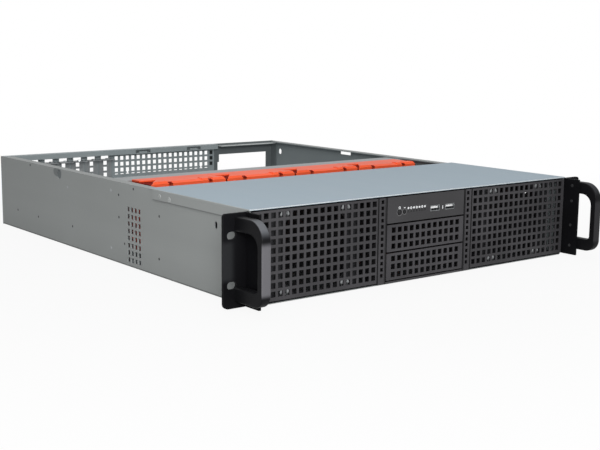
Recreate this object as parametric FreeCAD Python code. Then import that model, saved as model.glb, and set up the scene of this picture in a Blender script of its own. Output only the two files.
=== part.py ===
"""Empty 2U rackmount server case with its rear lid off.

X runs across the rack, Y runs from the front to the rear and Z is up. The parts are drawn with
the front face of the grilles at Y = 0 and the underside of the tray at Z = 0, and are moved to
the middle of the base when they are written. All sizes are in millimetres.
"""
import FreeCAD, Part
import math
import os

# ---------------------------------------------------------------- rack and shell
rack_width = 482.6
rack_hole_inset = 8.75
rack_pitch = 44.45
ear_span = 27.3
shell_height = 88.0
shell_depth = 550.0
sheet = 1.2
cover_sheet = 1.0
bend_radius = 1.6
tray_lip = 10.0
wall_front = 2.2
base_gap = 2.8

# ---------------------------------------------------------------- front top cover
cover_depth = 175.0
cover_flange = 11.2
cover_front = 0.8
cover_screw_head = 2.8
cover_flange_setback = 7.0
cover_screw_places = ((20.8, 6.5), (38.9, 7.4))

# ---------------------------------------------------------------- perforation of the front
hole_pitch = 8.0
hole_size = 5.3
grille_sheet = 1.5
grille_return = 6.5
grille_inner = 64.8
grille_first_column = 69.6
grille_first_row = 9.0
grille_top_gap = 2.2
seam = 0.3

# ---------------------------------------------------------------- centre column
strip_width = 10.0
strip_holes = 13
strip_top_gap = 3.64
strip_hole = 3.6
strip_first_row = 9.8
frame_return = 10.0
bay_width = 105.6
bay_height = 26.6
bay_pitch = 28.2
bay_first = 4.0
bay_clearance = 1.2
bay_face = 1.5
bay_clip = 9.0
bay_columns = 12
bay_rows = 3

# ---------------------------------------------------------------- control module
control_row = 70.4
power_x = -36.9
power_radius = 2.7
reset_x = -30.3
reset_radius = 2.0
button_clearance = 0.08
button_proud = 0.8
button_travel = 1.0
button_flange = 0.8
button_gap = 0.3
light_count = 7
light_first_x = -25.3
light_pitch = 3.77
light_size = 2.0
usb_x = (11.8, 32.7)
usb_width = 13.1
usb_height = 5.7
usb_wall = 0.5
usb_depth = 14.0
usb_clearance = 0.2
usb_tongue = (10.6, 1.8, 9.5)
board_thickness = 1.6
board_width = 92.0
board_depth = 42.0
switch_size = 5.0
shelf_depth = 50.0

# ---------------------------------------------------------------- rack ears and handles
ear_wall = 4.0
ear_flange = 3.0
ear_front = 2.5
ear_gap = 1.75
ear_reach = 17.5
ear_tail = 18.0
ear_tail_drop = 12.0
ear_top_corner = 3.0
ear_bottom_corner = 5.0
slot_width = 7.0
slot_length = 10.0
slot_lift = 0.6
handle_thickness = 9.5
handle_inset = 6.2
handle_reach = 38.5
handle_grip = 7.5
handle_top_gap = 4.8
handle_bottom = 7.8
handle_leg = 12.8
handle_bevel = 1.2
handle_top_radius = 19.0
handle_bottom_radius = 12.0
opening_top_radius = 12.0
opening_bottom_radius = 4.5
ear_screw_rows = (14.0, 42.0, 70.0)
ear_screw_depth = 13.5
ear_screw_head = 5.2
handle_screw_head = 5.6

# ---------------------------------------------------------------- cages behind the front
cage_sheet = 1.0
cage_inner = 102.6
cage_depth = 150.0
cage_top_gap = 0.6
fan_hole_margin = 8.5
fan_window_margin = 4.0
fan_window_corner = 14.0
nut_flats = 5.5
bay_cage_depth = 146.0
cage_slot = (26.0, 4.0)

# ---------------------------------------------------------------- fan row
fan_count = 4
fan_headroom = 8.0
fan_depth = 25.0
fan_duct_wall = 2.0
fan_duct_sides = 40
fan_hub = 34.0
fan_hub_sides = 28
fan_bush = 6.0
fan_blades = 7
fan_blade_angle = 32.0
fan_blade_thickness = 1.6
fan_tip_gap = 1.4
fan_axle = 3.0
fan_axle_clearance = 0.05
fan_base = 30.0
fan_base_thickness = 2.0
fan_frame_gap = 0.4
fan_frame_wall = 2.5
fan_row_margins = (21.3, 24.3)
fan_row_setback = 338.0
fan_row_depth = 40.0
fan_frame_top_gap = 1.2
fan_clearance = 0.3
fan_ring = 2.5
fan_ring_margin = 6.0
grip_notches = (24.6, 74.6)
notch_width = 5.0
notch_depth = 5.0
notch_cap = 2.2
grip_lip = 6.0
grip_slope = 1.6
grip_slope_depth = 5.0
block_setback = 6.0
vee_width = 20.0
vee_depth = 24.0
vee_drop = 2.0
bracket_sheet = 1.2
bracket_flange = 30.0
bracket_drop = 0.2
bracket_clearance = 0.2
bracket_stop = 7.0
bracket_end = (28.0, 10.0)
bracket_window_margin = 3.0

# ---------------------------------------------------------------- rear panel
slot_pitch = 20.32
slot_count = 7
last_slot_inset = 146.0
slot_window = (11.4, 4.8)
slot_window_drop = 12.8
slot_opening_width = 13.0
slot_bridge = 1.8
slot_opening_bottom = 11.0
slot_cover_width = 18.4
slot_cover_sheet = 0.9
slot_cover_tab = 11.0
slot_vent_holes = 5
slot_vent_drop = 5.4
slot_screw_flats = 5.0
slot_screw_height = 1.5
vent_columns = 18
blind_depth = 0.8
slit_size = (5.3, 1.2)
slit_row = 53.3
spring_slot = (3.6, 1.6)
spring_slot_columns = (2, 16)
vent_rows = 3
vent_pitch = (8.54, 8.0)
vent_first = (17.6, 58.9)
io_offset = 13.7
io_size = (158.75, 44.45)
io_bottom = 4.4
psu_gap = 10.15
psu_inset = 12.0
psu_rows = (8.0, 71.0)
psu_step = (2.5, 11.0)
psu_chamfer = 4.0
rear_hem = (11.0, 6.5)
hem_overhang = 3.55
ledge_drop = 4.0
ledge_depth = 12.0
rear_flange = 12.0
notch_offsets = (53.0, 135.0)
notch_span = 22.0
notch_slit = 1.4
lid_slot = (22.0, 5.4)
lid_slot_setback = 173.4
lid_slot_drop = 2.4

# ---------------------------------------------------------------- side vent and board mounts
side_vent_columns = 4
side_vent_rows = 8
side_vent_pitch = (7.55, 7.6)
side_vent_lead = 14.9
side_vent_bottom = 7.6
side_vent_size = 4.9
rail_hole_y = 55.6
rail_hole_drop = 21.2
rail_hole_size = (4.6, 7.0)
rear_hole_setback = 22.0
rear_hole_drop = 15.8
rear_hole_size = (7.0, 8.2)
dimple_radius = 5.0
dimple_depth = 0.7
dimple_setback = 169.0
dimple_drop = 7.5
standoff_height = 6.5
standoff_flats = 5.0
board_hole_offsets = (156.0, -1.5, -125.9)
board_hole_setbacks = (19.0, 174.0, 246.4)

# ---------------------------------------------------------------- worked out from the sizes above
half_tray = rack_width / 2 - ear_span
half_inner = half_tray - sheet
tray_height = shell_height - cover_sheet
panel_front = shell_depth - sheet
origin_y = (shell_depth - handle_reach) / 2
fan_axis_z = shell_height / 2
lip_front = cover_depth + 1.0
lip_rear = panel_front - rear_hem[0] - 1.0
flange_front = ear_front + ear_flange + 0.5
flange_rear = cover_depth - cover_flange_setback
slot_row = fan_axis_z - rack_pitch / 2 + slot_lift
front_top = shell_height - grille_top_gap
grille_outer = half_inner - seam
hole_margin = hole_size / 2 + grille_sheet
grille_columns = int((grille_outer - grille_first_column - hole_margin) / hole_pitch) + 1
grille_rows = int((front_top - grille_first_row - hole_margin) / hole_pitch) + 1
strip_pitch = (front_top - strip_top_gap - strip_first_row) / (strip_holes - 1)
handle_side = half_tray + handle_inset
handle_top = shell_height - handle_top_gap
half_bay = bay_width / 2
frame_inner = half_bay + bay_clearance
frame_foot = sheet
cage_front = grille_return
cage_centre = grille_first_column + hole_pitch * (grille_columns - 1) / 2
control_bottom = bay_first + 2 * bay_pitch
board_bottom = control_row - usb_height / 2 - board_thickness
board_front = bay_face + 2 * button_gap + 2 * button_flange + button_travel
last_slot_x = last_slot_inset - half_tray
slot_window_bottom = shell_height - slot_window_drop
slot_opening_top = slot_window_bottom - slot_bridge
io_left = last_slot_x + io_offset
io_right = io_left + io_size[0]
ledge_height = shell_height - ledge_drop
slot_centres = [last_slot_x - slot_pitch * k for k in range(slot_count)]
fan_size = shell_height - fan_headroom
fan_bore = fan_size - 2 * fan_duct_wall
fan_frame_pitch = (2 * half_inner - sum(fan_row_margins)) / fan_count
fan_row_left = fan_row_margins[0] - half_inner
fan_row_front = shell_depth - fan_row_setback
fan_row_rear = fan_row_front + fan_row_depth
fan_frame_top = shell_height - fan_frame_top_gap
fan_frame_bottom = sheet + bracket_sheet
fan_front = fan_row_front + block_setback + fan_ring + fan_clearance
fan_centres = [fan_row_left + fan_frame_pitch * k + (fan_frame_pitch - fan_frame_gap) / 2
               for k in range(fan_count)]


def box(x0, x1, y0, y1, z0, z1):
    """Block between two corners."""
    return Part.makeBox(x1 - x0, y1 - y0, z1 - z0, FreeCAD.Vector(x0, y0, z0))


def bar_y(x, z, radius, y0, y1):
    """Round bar along Y."""
    return Part.makeCylinder(radius, y1 - y0, FreeCAD.Vector(x, y0, z), FreeCAD.Vector(0, 1, 0))


def faceted_bar(sides, flats, height, base, axis):
    """Bar with equal sides of a width across flats, standing on a base point along an axis."""
    turn = 2 * math.pi / sides
    corner = flats / 2 / math.cos(turn / 2)
    bar = Part.Face(Part.makePolygon([
        FreeCAD.Vector(corner * math.cos(turn * k), corner * math.sin(turn * k), 0)
        for k in range(sides + 1)])).extrude(FreeCAD.Vector(0, 0, height))
    bar.Placement = FreeCAD.Placement(base, FreeCAD.Rotation(FreeCAD.Vector(0, 0, 1), axis))
    return bar


def screw_head(width, height, base, axis):
    """Round head drawn with twelve flats, which keeps the many heads light."""
    return faceted_bar(12, width, height, base, axis)


def prism(points, axis, start, length):
    """Extrusion of an outline given as pairs in the plane across an axis."""
    place = {
        "x": lambda a, b: FreeCAD.Vector(start, a, b),
        "y": lambda a, b: FreeCAD.Vector(a, start, b),
        "z": lambda a, b: FreeCAD.Vector(a, b, start),
    }[axis]
    corners = [place(a, b) for a, b in points]
    step = {"x": (length, 0, 0), "y": (0, length, 0), "z": (0, 0, length)}[axis]
    return Part.Face(Part.makePolygon(corners + corners[:1])).extrude(FreeCAD.Vector(*step))


def rectangle(x0, x1, z0, z1, y):
    """Closed rectangular wire in a plane across Y."""
    corners = [(x0, z0), (x1, z0), (x1, z1), (x0, z1), (x0, z0)]
    return Part.makePolygon([FreeCAD.Vector(x, y, z) for x, z in corners])


def grid(first, pitch, columns, rows, size):
    """Square holes in rows and columns, each as x0, x1, z0, z1."""
    half = size / 2
    centres = [(first[0] + pitch[0] * i, first[1] + pitch[1] * j)
               for j in range(rows) for i in range(columns)]
    return [(x - half, x + half, z - half, z + half) for x, z in centres]


def perforated(x0, x1, z0, z1, holes, y0, thickness):
    """Flat sheet across Y with rectangular holes punched through it."""
    wires = [rectangle(x0, x1, z0, z1, y0)] + [rectangle(*hole, y0) for hole in holes]
    face = Part.makeFace(wires, "Part::FaceMakerBullseye")
    return face.extrude(FreeCAD.Vector(0, thickness, 0))


def cut_corner_window(x, width, y0, thickness):
    """Block that cuts a square window with cut corners, centred on the fan axis."""
    half, cut = width / 2, fan_window_corner
    return prism([
        (x - half + cut, fan_axis_z - half), (x + half - cut, fan_axis_z - half),
        (x + half, fan_axis_z - half + cut), (x + half, fan_axis_z + half - cut),
        (x + half - cut, fan_axis_z + half), (x - half + cut, fan_axis_z + half),
        (x - half, fan_axis_z + half - cut), (x - half, fan_axis_z - half + cut)],
        "y", y0 - 1, thickness + 2)


def join(shapes):
    """One solid from touching or overlapping ones."""
    return shapes[0].multiFuse(shapes[1:]).removeSplitter()


def mirrored(shape):
    """The same shape on the other side of the case."""
    return shape.mirror(FreeCAD.Vector(0, 0, 0), FreeCAD.Vector(1, 0, 0))


def round_edges(shape, radius, chosen):
    """Fillet the edges for which chosen says yes."""
    return shape.makeFillet(radius, [edge for edge in shape.Edges if chosen(edge)])


def runs_along_y_at(x, z):
    """Test for a straight edge along Y that passes through a point of the XZ plane."""
    def test(edge):
        ends = [vertex.Point for vertex in edge.Vertexes]
        if len(ends) != 2 or abs(ends[0].y - ends[1].y) < 1.0:
            return False
        return all(abs(abs(end.x) - x) < 0.01 and abs(end.z - z) < 0.01 for end in ends)
    return test


# ================================================================= shell
def chassis_tray():
    """Floor and side walls folded from one sheet, with lips, rail holes, side vents, a lid slot
    in the right wall and a pressed catch dimple in the left one."""
    length = panel_front - wall_front
    outline = [
        (-half_tray, 0), (half_tray, 0), (half_tray, tray_height),
        (half_inner, tray_height), (half_inner, sheet), (-half_inner, sheet),
        (-half_inner, tray_height), (-half_tray, tray_height)]
    folded = prism(outline, "y", wall_front, length)
    folded = round_edges(folded, bend_radius, runs_along_y_at(half_tray, 0))
    lip = box(half_inner - tray_lip, half_inner, lip_front, lip_rear,
              tray_height - sheet, tray_height)
    cuts = []
    for column in range(side_vent_columns):
        for row in range(side_vent_rows):
            y = fan_row_front - side_vent_lead + side_vent_pitch[0] * column
            z = side_vent_bottom + side_vent_pitch[1] * row
            half = side_vent_size / 2
            cuts.append(box(-half_tray - 1, -half_inner + 1, y - half, y + half, z - half, z + half))
    for side in (-1, 1):
        cuts.append(oval_across_x(side * half_tray, (rail_hole_y, shell_height - rail_hole_drop),
                                  rail_hole_size))
    rear_hole = (shell_depth - rear_hole_setback, shell_height - rear_hole_drop)
    cuts.append(oval_across_x(half_tray, rear_hole, rear_hole_size))
    slot_middle = shell_depth - lid_slot_setback
    slot_top = shell_height - lid_slot_drop
    cuts.append(box(half_inner - 0.5, half_tray + 1, slot_middle - lid_slot[0] / 2,
                    slot_middle + lid_slot[0] / 2, slot_top - lid_slot[1], slot_top))
    cuts.append(Part.makeCylinder(
        dimple_radius, dimple_depth + 1,
        FreeCAD.Vector(-half_tray - 1, shell_depth - dimple_setback, shell_height - dimple_drop),
        FreeCAD.Vector(1, 0, 0)))
    return join([folded, lip, mirrored(lip)]).cut(cuts)


def oval_across_x(x, centre, size):
    """Upright slot through a side wall."""
    radius = size[0] / 2
    reach = size[1] / 2 - radius
    y, z = centre
    x0, x1 = x - 2 * sheet, x + 2 * sheet
    ends = [Part.makeCylinder(radius, x1 - x0, FreeCAD.Vector(x0, y, z + lift),
                              FreeCAD.Vector(1, 0, 0)) for lift in (-reach, reach)]
    return join(ends + [box(x0, x1, y - radius, y + radius, z - reach, z + reach)])


def slot_across_y(x, z, y0, y1):
    """Sideways slot for a rack screw."""
    radius = slot_width / 2
    reach = slot_length / 2 - radius
    ends = [bar_y(x + shift, z, radius, y0, y1) for shift in (-reach, reach)]
    return join(ends + [box(x - reach, x + reach, y0, y1, z - radius, z + radius)])


def rear_panel():
    """Rear wall with its windows, folded hem, ledge and side flanges."""
    psu_x0, psu_x1 = io_right + psu_gap, half_tray - psu_inset
    psu_z0, psu_z1 = psu_rows
    vent_start = (last_slot_x + vent_first[0], vent_first[1])
    holes = [(x - slot_window[0] / 2, x + slot_window[0] / 2,
              slot_window_bottom, slot_window_bottom + slot_window[1]) for x in slot_centres]
    holes += [(x - slot_opening_width / 2, x + slot_opening_width / 2,
               slot_opening_bottom, slot_opening_top) for x in slot_centres]
    holes += grid(vent_start, vent_pitch, vent_columns, vent_rows, hole_size)
    columns = [vent_start[0] + vent_pitch[0] * column for column in range(vent_columns)]
    holes += [(x - slit_size[0] / 2, x + slit_size[0] / 2,
               slit_row - slit_size[1] / 2, slit_row + slit_size[1] / 2) for x in columns]
    holes += [(io_left, io_right, io_bottom, io_bottom + io_size[1])]
    wall = perforated(-half_tray, half_tray, 0, tray_height, holes, panel_front, sheet)
    step, drop = psu_step
    window = prism([
        (psu_x0, psu_z0), (psu_x1 - psu_chamfer, psu_z0), (psu_x1, psu_z0 + psu_chamfer),
        (psu_x1, psu_z1), (psu_x0 + step, psu_z1), (psu_x0 + step, psu_z1 - drop),
        (psu_x0, psu_z1 - drop)], "y", panel_front - 1, sheet + 2)
    hem_front = panel_front - rear_hem[0]
    hem_end = io_right + hem_overhang
    top = box(-half_inner, hem_end, hem_front, panel_front, tray_height - sheet, tray_height)
    drop_strip = box(-half_inner, hem_end, hem_front, hem_front + sheet,
                     tray_height - rear_hem[1], tray_height)
    drop_strip = drop_strip.cut([arch(last_slot_x + x, hem_front) for x in notch_offsets])
    ledge = box(hem_end + ledge_depth / 2, half_inner, panel_front - ledge_depth, panel_front,
                ledge_height - sheet, ledge_height)
    flange = box(half_inner - sheet, half_inner, panel_front - rear_flange, panel_front,
                 2 * sheet, ledge_height)
    blind_x = columns[-1] + vent_pitch[0]
    blind = [box(x0, x1, panel_front - 1, panel_front + blind_depth, z0, z1)
             for x0, x1, z0, z1 in grid((blind_x, vent_start[1]), vent_pitch, 1, vent_rows,
                                        hole_size)]
    springs = [spring_opening(columns[column]) for column in spring_slot_columns]
    return join([wall.cut([window] + blind + springs), top, drop_strip, ledge, flange])


def spring_opening(x):
    """Tapered opening from the lowest row of vents down to its slit."""
    top, bottom = (width / 2 for width in spring_slot)
    z0, z1 = slit_row, vent_first[1] - hole_size / 2 + 0.1
    return prism([(x - bottom, z0), (x + bottom, z0), (x + top, z1), (x - top, z1)],
                 "y", panel_front - 1, sheet + 2)


def arch(x, front):
    """Arched slit that frees a finger tab from the hem on three sides."""
    base = tray_height - rear_hem[1] + notch_slit
    height = tray_height - sheet - base - notch_slit / 2
    outer = flat_arch(notch_span / 2, height)
    inner = flat_arch(notch_span / 2 - notch_slit, height - notch_slit)
    slit = outer.cut(inner)
    slit.translate(FreeCAD.Vector(x, front - 1, base))
    return slit


def flat_arch(half, height):
    """Block across Y with a flat top and a quarter turn at each side."""
    flat = half - height
    turn = math.sqrt(0.5) * height
    left = FreeCAD.Vector(-half, 0, 0)
    right = FreeCAD.Vector(half, 0, 0)
    top_left = FreeCAD.Vector(-flat, 0, height)
    top_right = FreeCAD.Vector(flat, 0, height)
    edges = [
        Part.Arc(left, FreeCAD.Vector(-flat - turn, 0, turn), top_left),
        Part.LineSegment(top_left, top_right),
        Part.Arc(top_right, FreeCAD.Vector(flat + turn, 0, turn), right),
        Part.LineSegment(right, left)]
    outline = Part.Wire([edge.toShape() for edge in edges])
    return Part.Face(outline).extrude(FreeCAD.Vector(0, sheet + 2, 0))


def slot_cover(x):
    """Vented expansion-slot cover with its screwed top tab."""
    half = slot_cover_width / 2
    bottom = slot_opening_bottom - 3.0
    top = slot_window_bottom - 1.0
    rows = [slot_window_bottom - slot_vent_drop - hole_pitch * row
            for row in range(slot_vent_holes)]
    holes = [(x - hole_size / 2, x + hole_size / 2, z - hole_size / 2, z + hole_size / 2)
             for z in rows]
    front = panel_front - slot_cover_sheet
    blade = perforated(x - half, x + half, bottom, top, holes, front, slot_cover_sheet)
    tab = box(x - half, x + half, front - slot_cover_tab, front + slot_cover_sheet,
              top, top + slot_cover_sheet)
    return join([blade, tab])


def slot_screws():
    """Hexagonal heads on the tabs of the slot covers."""
    top = slot_window_bottom - 1.0 + slot_cover_sheet
    y = panel_front - slot_cover_sheet - slot_cover_tab / 2
    return [faceted_bar(6, slot_screw_flats, slot_screw_height, FreeCAD.Vector(x, y, top),
                        FreeCAD.Vector(0, 0, 1))
            for x in slot_centres]


def front_cover():
    """Fixed front half of the lid with flanges folded over the side walls."""
    half = half_tray + cover_sheet
    outline = [
        (-half, tray_height), (-half, shell_height), (half, shell_height), (half, tray_height)]
    top = prism(outline, "y", cover_front, cover_depth - cover_front)
    sides = [box(half_tray, half, flange_front, flange_rear, shell_height - cover_flange,
                 tray_height)]
    sides.append(mirrored(sides[0]))
    folded = join([top] + sides)
    return round_edges(folded, cover_sheet * 0.9, runs_along_y_at(half, shell_height))


def cover_screws():
    """Flat heads that hold the cover's flanges to the tray."""
    side = half_tray + cover_sheet
    heads = [screw_head(2 * cover_screw_head, 0.8,
                        FreeCAD.Vector(side, cover_depth - back, shell_height - down),
                        FreeCAD.Vector(1, 0, 0)) for back, down in cover_screw_places]
    return heads + [mirrored(head) for head in heads]


# ================================================================= front
def grille():
    """Right grille: a perforated sheet with its four edges folded back."""
    x0, x1 = grille_inner, grille_outer
    z0, z1 = base_gap, front_top
    holes = grid((grille_first_column, grille_first_row), (hole_pitch, hole_pitch),
                 grille_columns, grille_rows, hole_size)
    face = perforated(x0, x1, z0, z1, holes, 0, grille_sheet)
    rim = box(x0, x1, grille_sheet, grille_return, z0, z1).cut(
        box(x0 + grille_sheet, x1 - grille_sheet, 0, grille_return + 1,
            z0 + grille_sheet, z1 - grille_sheet))
    return join([face, rim])


def centre_frame():
    """Two perforated uprights joined by a foot under the bays."""
    x0, x1 = frame_inner, frame_inner + strip_width
    z0, z1 = frame_foot, front_top
    holes = grid((x0 + strip_width / 2, strip_first_row), (strip_pitch, strip_pitch),
                 1, strip_holes, strip_hole)
    strip = perforated(x0, x1, z0, z1, holes, 0, grille_sheet)
    inner = box(x0, x0 + grille_sheet, grille_sheet, frame_return, z0, z1)
    upright = join([strip, inner])
    foot = box(-x0, x0, 0, frame_return, z0, base_gap)
    return join([upright, mirrored(upright), foot])


def bay_cover(z0):
    """Perforated blank for one drive bay, with a rim behind it and two spring clips."""
    holes = grid((-hole_pitch * (bay_columns - 1) / 2, z0 + bay_height / 2 - hole_pitch),
                 (hole_pitch, hole_pitch), bay_columns, bay_rows, hole_size)
    face = perforated(-half_bay, half_bay, z0, z0 + bay_height, holes, 0, bay_face)
    wall = bay_face
    rim = box(-half_bay, half_bay, bay_face, 4 * bay_face, z0, z0 + bay_height).cut(
        box(-half_bay + wall, half_bay - wall, 0, 5 * bay_face, z0 + wall, z0 + bay_height - wall))
    middle = z0 + bay_height / 2
    clip = box(half_bay - wall, frame_inner, 4 * bay_face, 4 * bay_face + bay_clip,
               middle - bay_clip / 2, middle + bay_clip / 2)
    return join([face, rim, clip, mirrored(clip)])


def bay_cage():
    """Sleeve behind the centre column that carries the bays and the control module."""
    x1 = frame_inner + cage_sheet
    y0, y1 = frame_return + seam, frame_return + seam + bay_cage_depth
    z1 = tray_height - cage_top_gap
    foot = 8.0
    outline = [
        (-x1 - foot, sheet), (-x1 + cage_sheet, sheet), (-x1 + cage_sheet, z1 - cage_sheet),
        (x1 - cage_sheet, z1 - cage_sheet), (x1 - cage_sheet, sheet), (x1 + foot, sheet),
        (x1 + foot, sheet + cage_sheet), (x1, sheet + cage_sheet), (x1, z1), (-x1, z1),
        (-x1, sheet + cage_sheet), (-x1 - foot, sheet + cage_sheet)]
    sleeve = prism(outline, "y", y0, y1 - y0)
    length, height = cage_slot
    rows = [bay_first + bay_height / 2 + bay_pitch * row for row in range(2)]
    slots = [box(-x1 - 1, x1 + 1, y0 + start, y0 + start + length, z - height / 2, z + height / 2)
             for z in rows for start in (length, 3 * length)]
    return sleeve.cut(slots)


def drive_cage():
    """Right drive cage: open at the rear, with a fan window in its front wall."""
    inner = cage_inner / 2
    x0, x1 = cage_centre - inner - cage_sheet, cage_centre + inner + cage_sheet
    y0, y1 = cage_front, cage_front + cage_depth
    z1 = tray_height - cage_top_gap
    foot = 8.0
    outline = [
        (x0 - foot, sheet), (x0 + cage_sheet, sheet), (x0 + cage_sheet, z1 - cage_sheet),
        (x1 - cage_sheet, z1 - cage_sheet), (x1 - cage_sheet, sheet), (x1 + foot, sheet),
        (x1 + foot, sheet + cage_sheet), (x1, sheet + cage_sheet), (x1, z1), (x0, z1),
        (x0, sheet + cage_sheet), (x0 - foot, sheet + cage_sheet)]
    sleeve = prism(outline, "y", y0, y1 - y0)
    front = box(x0, x1, y0, y0 + cage_sheet, sheet, z1)
    window = cut_corner_window(cage_centre, fan_size - fan_window_margin, y0, cage_sheet)
    length, height = cage_slot
    slots = [box(x0 - 1, x1 + 1, y0 + start, y0 + start + length, z, z + height)
             for z in (fan_axis_z - rack_pitch / 2, fan_axis_z + rack_pitch / 2)
             for start in (length, 3 * length)]
    return join([sleeve, front.cut(window)]).cut(slots)


def front_fan_nuts():
    """Nuts on the cage fronts in the pattern of an 80 mm fan."""
    half = (fan_size - fan_hole_margin) / 2
    nuts = [faceted_bar(6, nut_flats, 1.8, FreeCAD.Vector(cage_centre + i * half, cage_front,
                                                   fan_axis_z + j * half), FreeCAD.Vector(0, -1, 0))
            for i in (-1, 1) for j in (-1, 1)]
    return nuts + [mirrored(nut) for nut in nuts]


# ================================================================= control module
def control_panel():
    """Moulded module with button holes, light windows, port openings and a shelf for its board."""
    z0, z1 = control_bottom, front_top
    light = [light_first_x + light_pitch * i for i in range(light_count)]
    half = light_size / 2
    holes = [(x - half, x + half, control_row - half, control_row + half) for x in light]
    half_w, half_h = usb_width / 2 + usb_clearance, usb_height / 2 + usb_clearance
    holes += [(x - half_w, x + half_w, control_row - half_h, control_row + half_h) for x in usb_x]
    face = perforated(-half_bay, half_bay, z0, z1, holes, 0, bay_face)
    bores = [bar_y(x, control_row, radius + button_clearance, -1, bay_face + 1)
             for x, radius in ((power_x, power_radius), (reset_x, reset_radius))]
    shelf = box(-half_bay, half_bay, bay_face, shelf_depth, z0, z0 + bay_face)
    side = box(half_bay - bay_face, frame_inner, 2 * bay_face, shelf_depth, z0, board_bottom)
    foot = 4.0
    posts = [box(x - foot / 2, x + foot / 2, y, y + foot, z0 + bay_face, board_bottom)
             for x in (-board_width / 2 + foot, board_width / 2 - foot)
             for y in (board_front + foot, board_front + board_depth - 2 * foot)]
    return join([face, shelf, side, mirrored(side)] + posts).cut(bores)


def button(x, radius):
    """Plunger that stands proud of the panel, kept in by a collar behind it."""
    collar_front = bay_face + button_gap
    plunger = bar_y(x, control_row, radius, -button_proud, collar_front + 2 * button_flange)
    collar = bar_y(x, control_row, radius + button_flange, collar_front,
                   collar_front + button_flange)
    return join([plunger, collar])


def control_board():
    """Circuit board with the two push switches behind the buttons."""
    board = box(-board_width / 2, board_width / 2, board_front, board_front + board_depth,
                board_bottom, board_bottom + board_thickness)
    front = bay_face + button_gap + 2 * button_flange + button_travel + button_gap
    switches = [box(x - 0.5 * switch_size, x + 0.5 * switch_size, front, front + switch_size,
                    board_bottom + board_thickness, control_row + 0.5 * switch_size)
                for x in (power_x, reset_x)]
    return join([board] + switches)


def light_guides():
    """Clear pegs that fill the windows of the indicator lights."""
    half = light_size / 2 - 0.05
    return [box(x - half, x + half, -0.3, board_front, control_row - half, control_row + half)
            for x in (light_first_x + light_pitch * i for i in range(light_count))]


def usb_shell(x):
    """Metal shell of one port, closed at the back."""
    half_w, half_h = usb_width / 2, usb_height / 2
    outer = box(x - half_w, x + half_w, 0.3, 0.3 + usb_depth,
                control_row - half_h, control_row + half_h)
    inner = box(x - half_w + usb_wall, x + half_w - usb_wall, 0, usb_depth + 0.3 - usb_wall,
                control_row - half_h + usb_wall, control_row + half_h - usb_wall)
    return outer.cut(inner)


def usb_tongue_block(x):
    """Contact carrier of one port: a tongue on a block that fills the back of the shell."""
    width, height, length = usb_tongue
    back = 0.3 + usb_depth - usb_wall
    block = box(x - usb_width / 2 + usb_wall, x + usb_width / 2 - usb_wall, back - 2.5, back,
                control_row - usb_height / 2 + usb_wall, control_row + usb_height / 2 - usb_wall)
    top = control_row + usb_height / 2 - usb_wall - 0.7
    tongue = box(x - width / 2, x + width / 2, back - 2.5 - length, back - 2.5, top - height, top)
    return join([block, tongue])


# ================================================================= rack ears and handles
def ear():
    """Right rack ear: a wall that stands forward, a slotted flange and a lower tail along the
    tray."""
    z0, z1 = ear_gap, shell_height - ear_gap
    wall_out = half_tray + ear_wall
    step = 1.5
    tip = rack_width / 2
    outline = [
        (half_tray + step, -ear_reach), (wall_out, -ear_reach), (wall_out, ear_front),
        (tip, ear_front), (tip, ear_front + ear_flange), (wall_out, ear_front + ear_flange),
        (wall_out, ear_front + 2 * ear_flange), (wall_out - step, ear_front + 2 * ear_flange + step),
        (wall_out - step, ear_tail), (half_tray, ear_tail), (half_tray, wall_front),
        (half_tray + step, wall_front)]
    body = prism(outline, "z", z0, z1 - z0)
    body = round_edges(body, ear_top_corner, lambda edge: is_corner(edge, tip, z1))
    body = round_edges(body, ear_bottom_corner, lambda edge: is_corner(edge, tip, z0))
    slots = [slot_across_y(tip - rack_hole_inset, slot_row + k * rack_pitch, ear_front - 1,
                           ear_front + ear_flange + 1) for k in (0, 1)]
    above_tail = box(half_tray - 1, wall_out + 1, ear_front + ear_flange, ear_tail + 1,
                     shell_height - ear_tail_drop, shell_height)
    return body.cut(slots + [above_tail])


def is_corner(edge, x, z):
    """Short edge along Y at a corner of the flange."""
    ends = [vertex.Point for vertex in edge.Vertexes]
    return (len(ends) == 2 and abs(ends[0].y - ends[1].y) > 1.0
            and all(abs(end.x - x) < 0.01 and abs(end.z - z) < 0.01 for end in ends))


def handle():
    """Right handle: a flat D with a large upper bend, bevelled all round."""
    back = ear_front
    front = -handle_reach
    outer = rounded_d(front, back, handle_bottom, handle_top, handle_bottom_radius,
                      handle_top_radius)
    inner = rounded_d(front + handle_grip, back, handle_bottom + handle_leg,
                      handle_top - handle_leg, opening_bottom_radius, opening_top_radius)
    width = FreeCAD.Vector(handle_thickness, 0, 0)
    body = Part.Face(outer).extrude(width).cut(Part.Face(inner).extrude(width))
    bevelled = [edge for edge in body.Edges
                if edge.BoundBox.XLength < 0.01 and edge.BoundBox.YMin < back - 0.01]
    return body.makeChamfer(handle_bevel, bevelled)


def rounded_d(front, back, z0, z1, low_radius, high_radius):
    """D-shaped wire in the plane of the handle, open side at the back."""
    x = handle_side
    turn = 1 - math.sqrt(0.5)

    def at(y, z):
        return FreeCAD.Vector(x, y, z)
    parts = [
        Part.LineSegment(at(back, z0), at(front + low_radius, z0)),
        Part.Arc(at(front + low_radius, z0),
                 at(front + low_radius * turn, z0 + low_radius * turn),
                 at(front, z0 + low_radius)),
        Part.LineSegment(at(front, z0 + low_radius), at(front, z1 - high_radius)),
        Part.Arc(at(front, z1 - high_radius),
                 at(front + high_radius * turn, z1 - high_radius * turn),
                 at(front + high_radius, z1)),
        Part.LineSegment(at(front + high_radius, z1), at(back, z1)),
        Part.LineSegment(at(back, z1), at(back, z0))]
    return Part.Wire([part.toShape() for part in parts])


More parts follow.
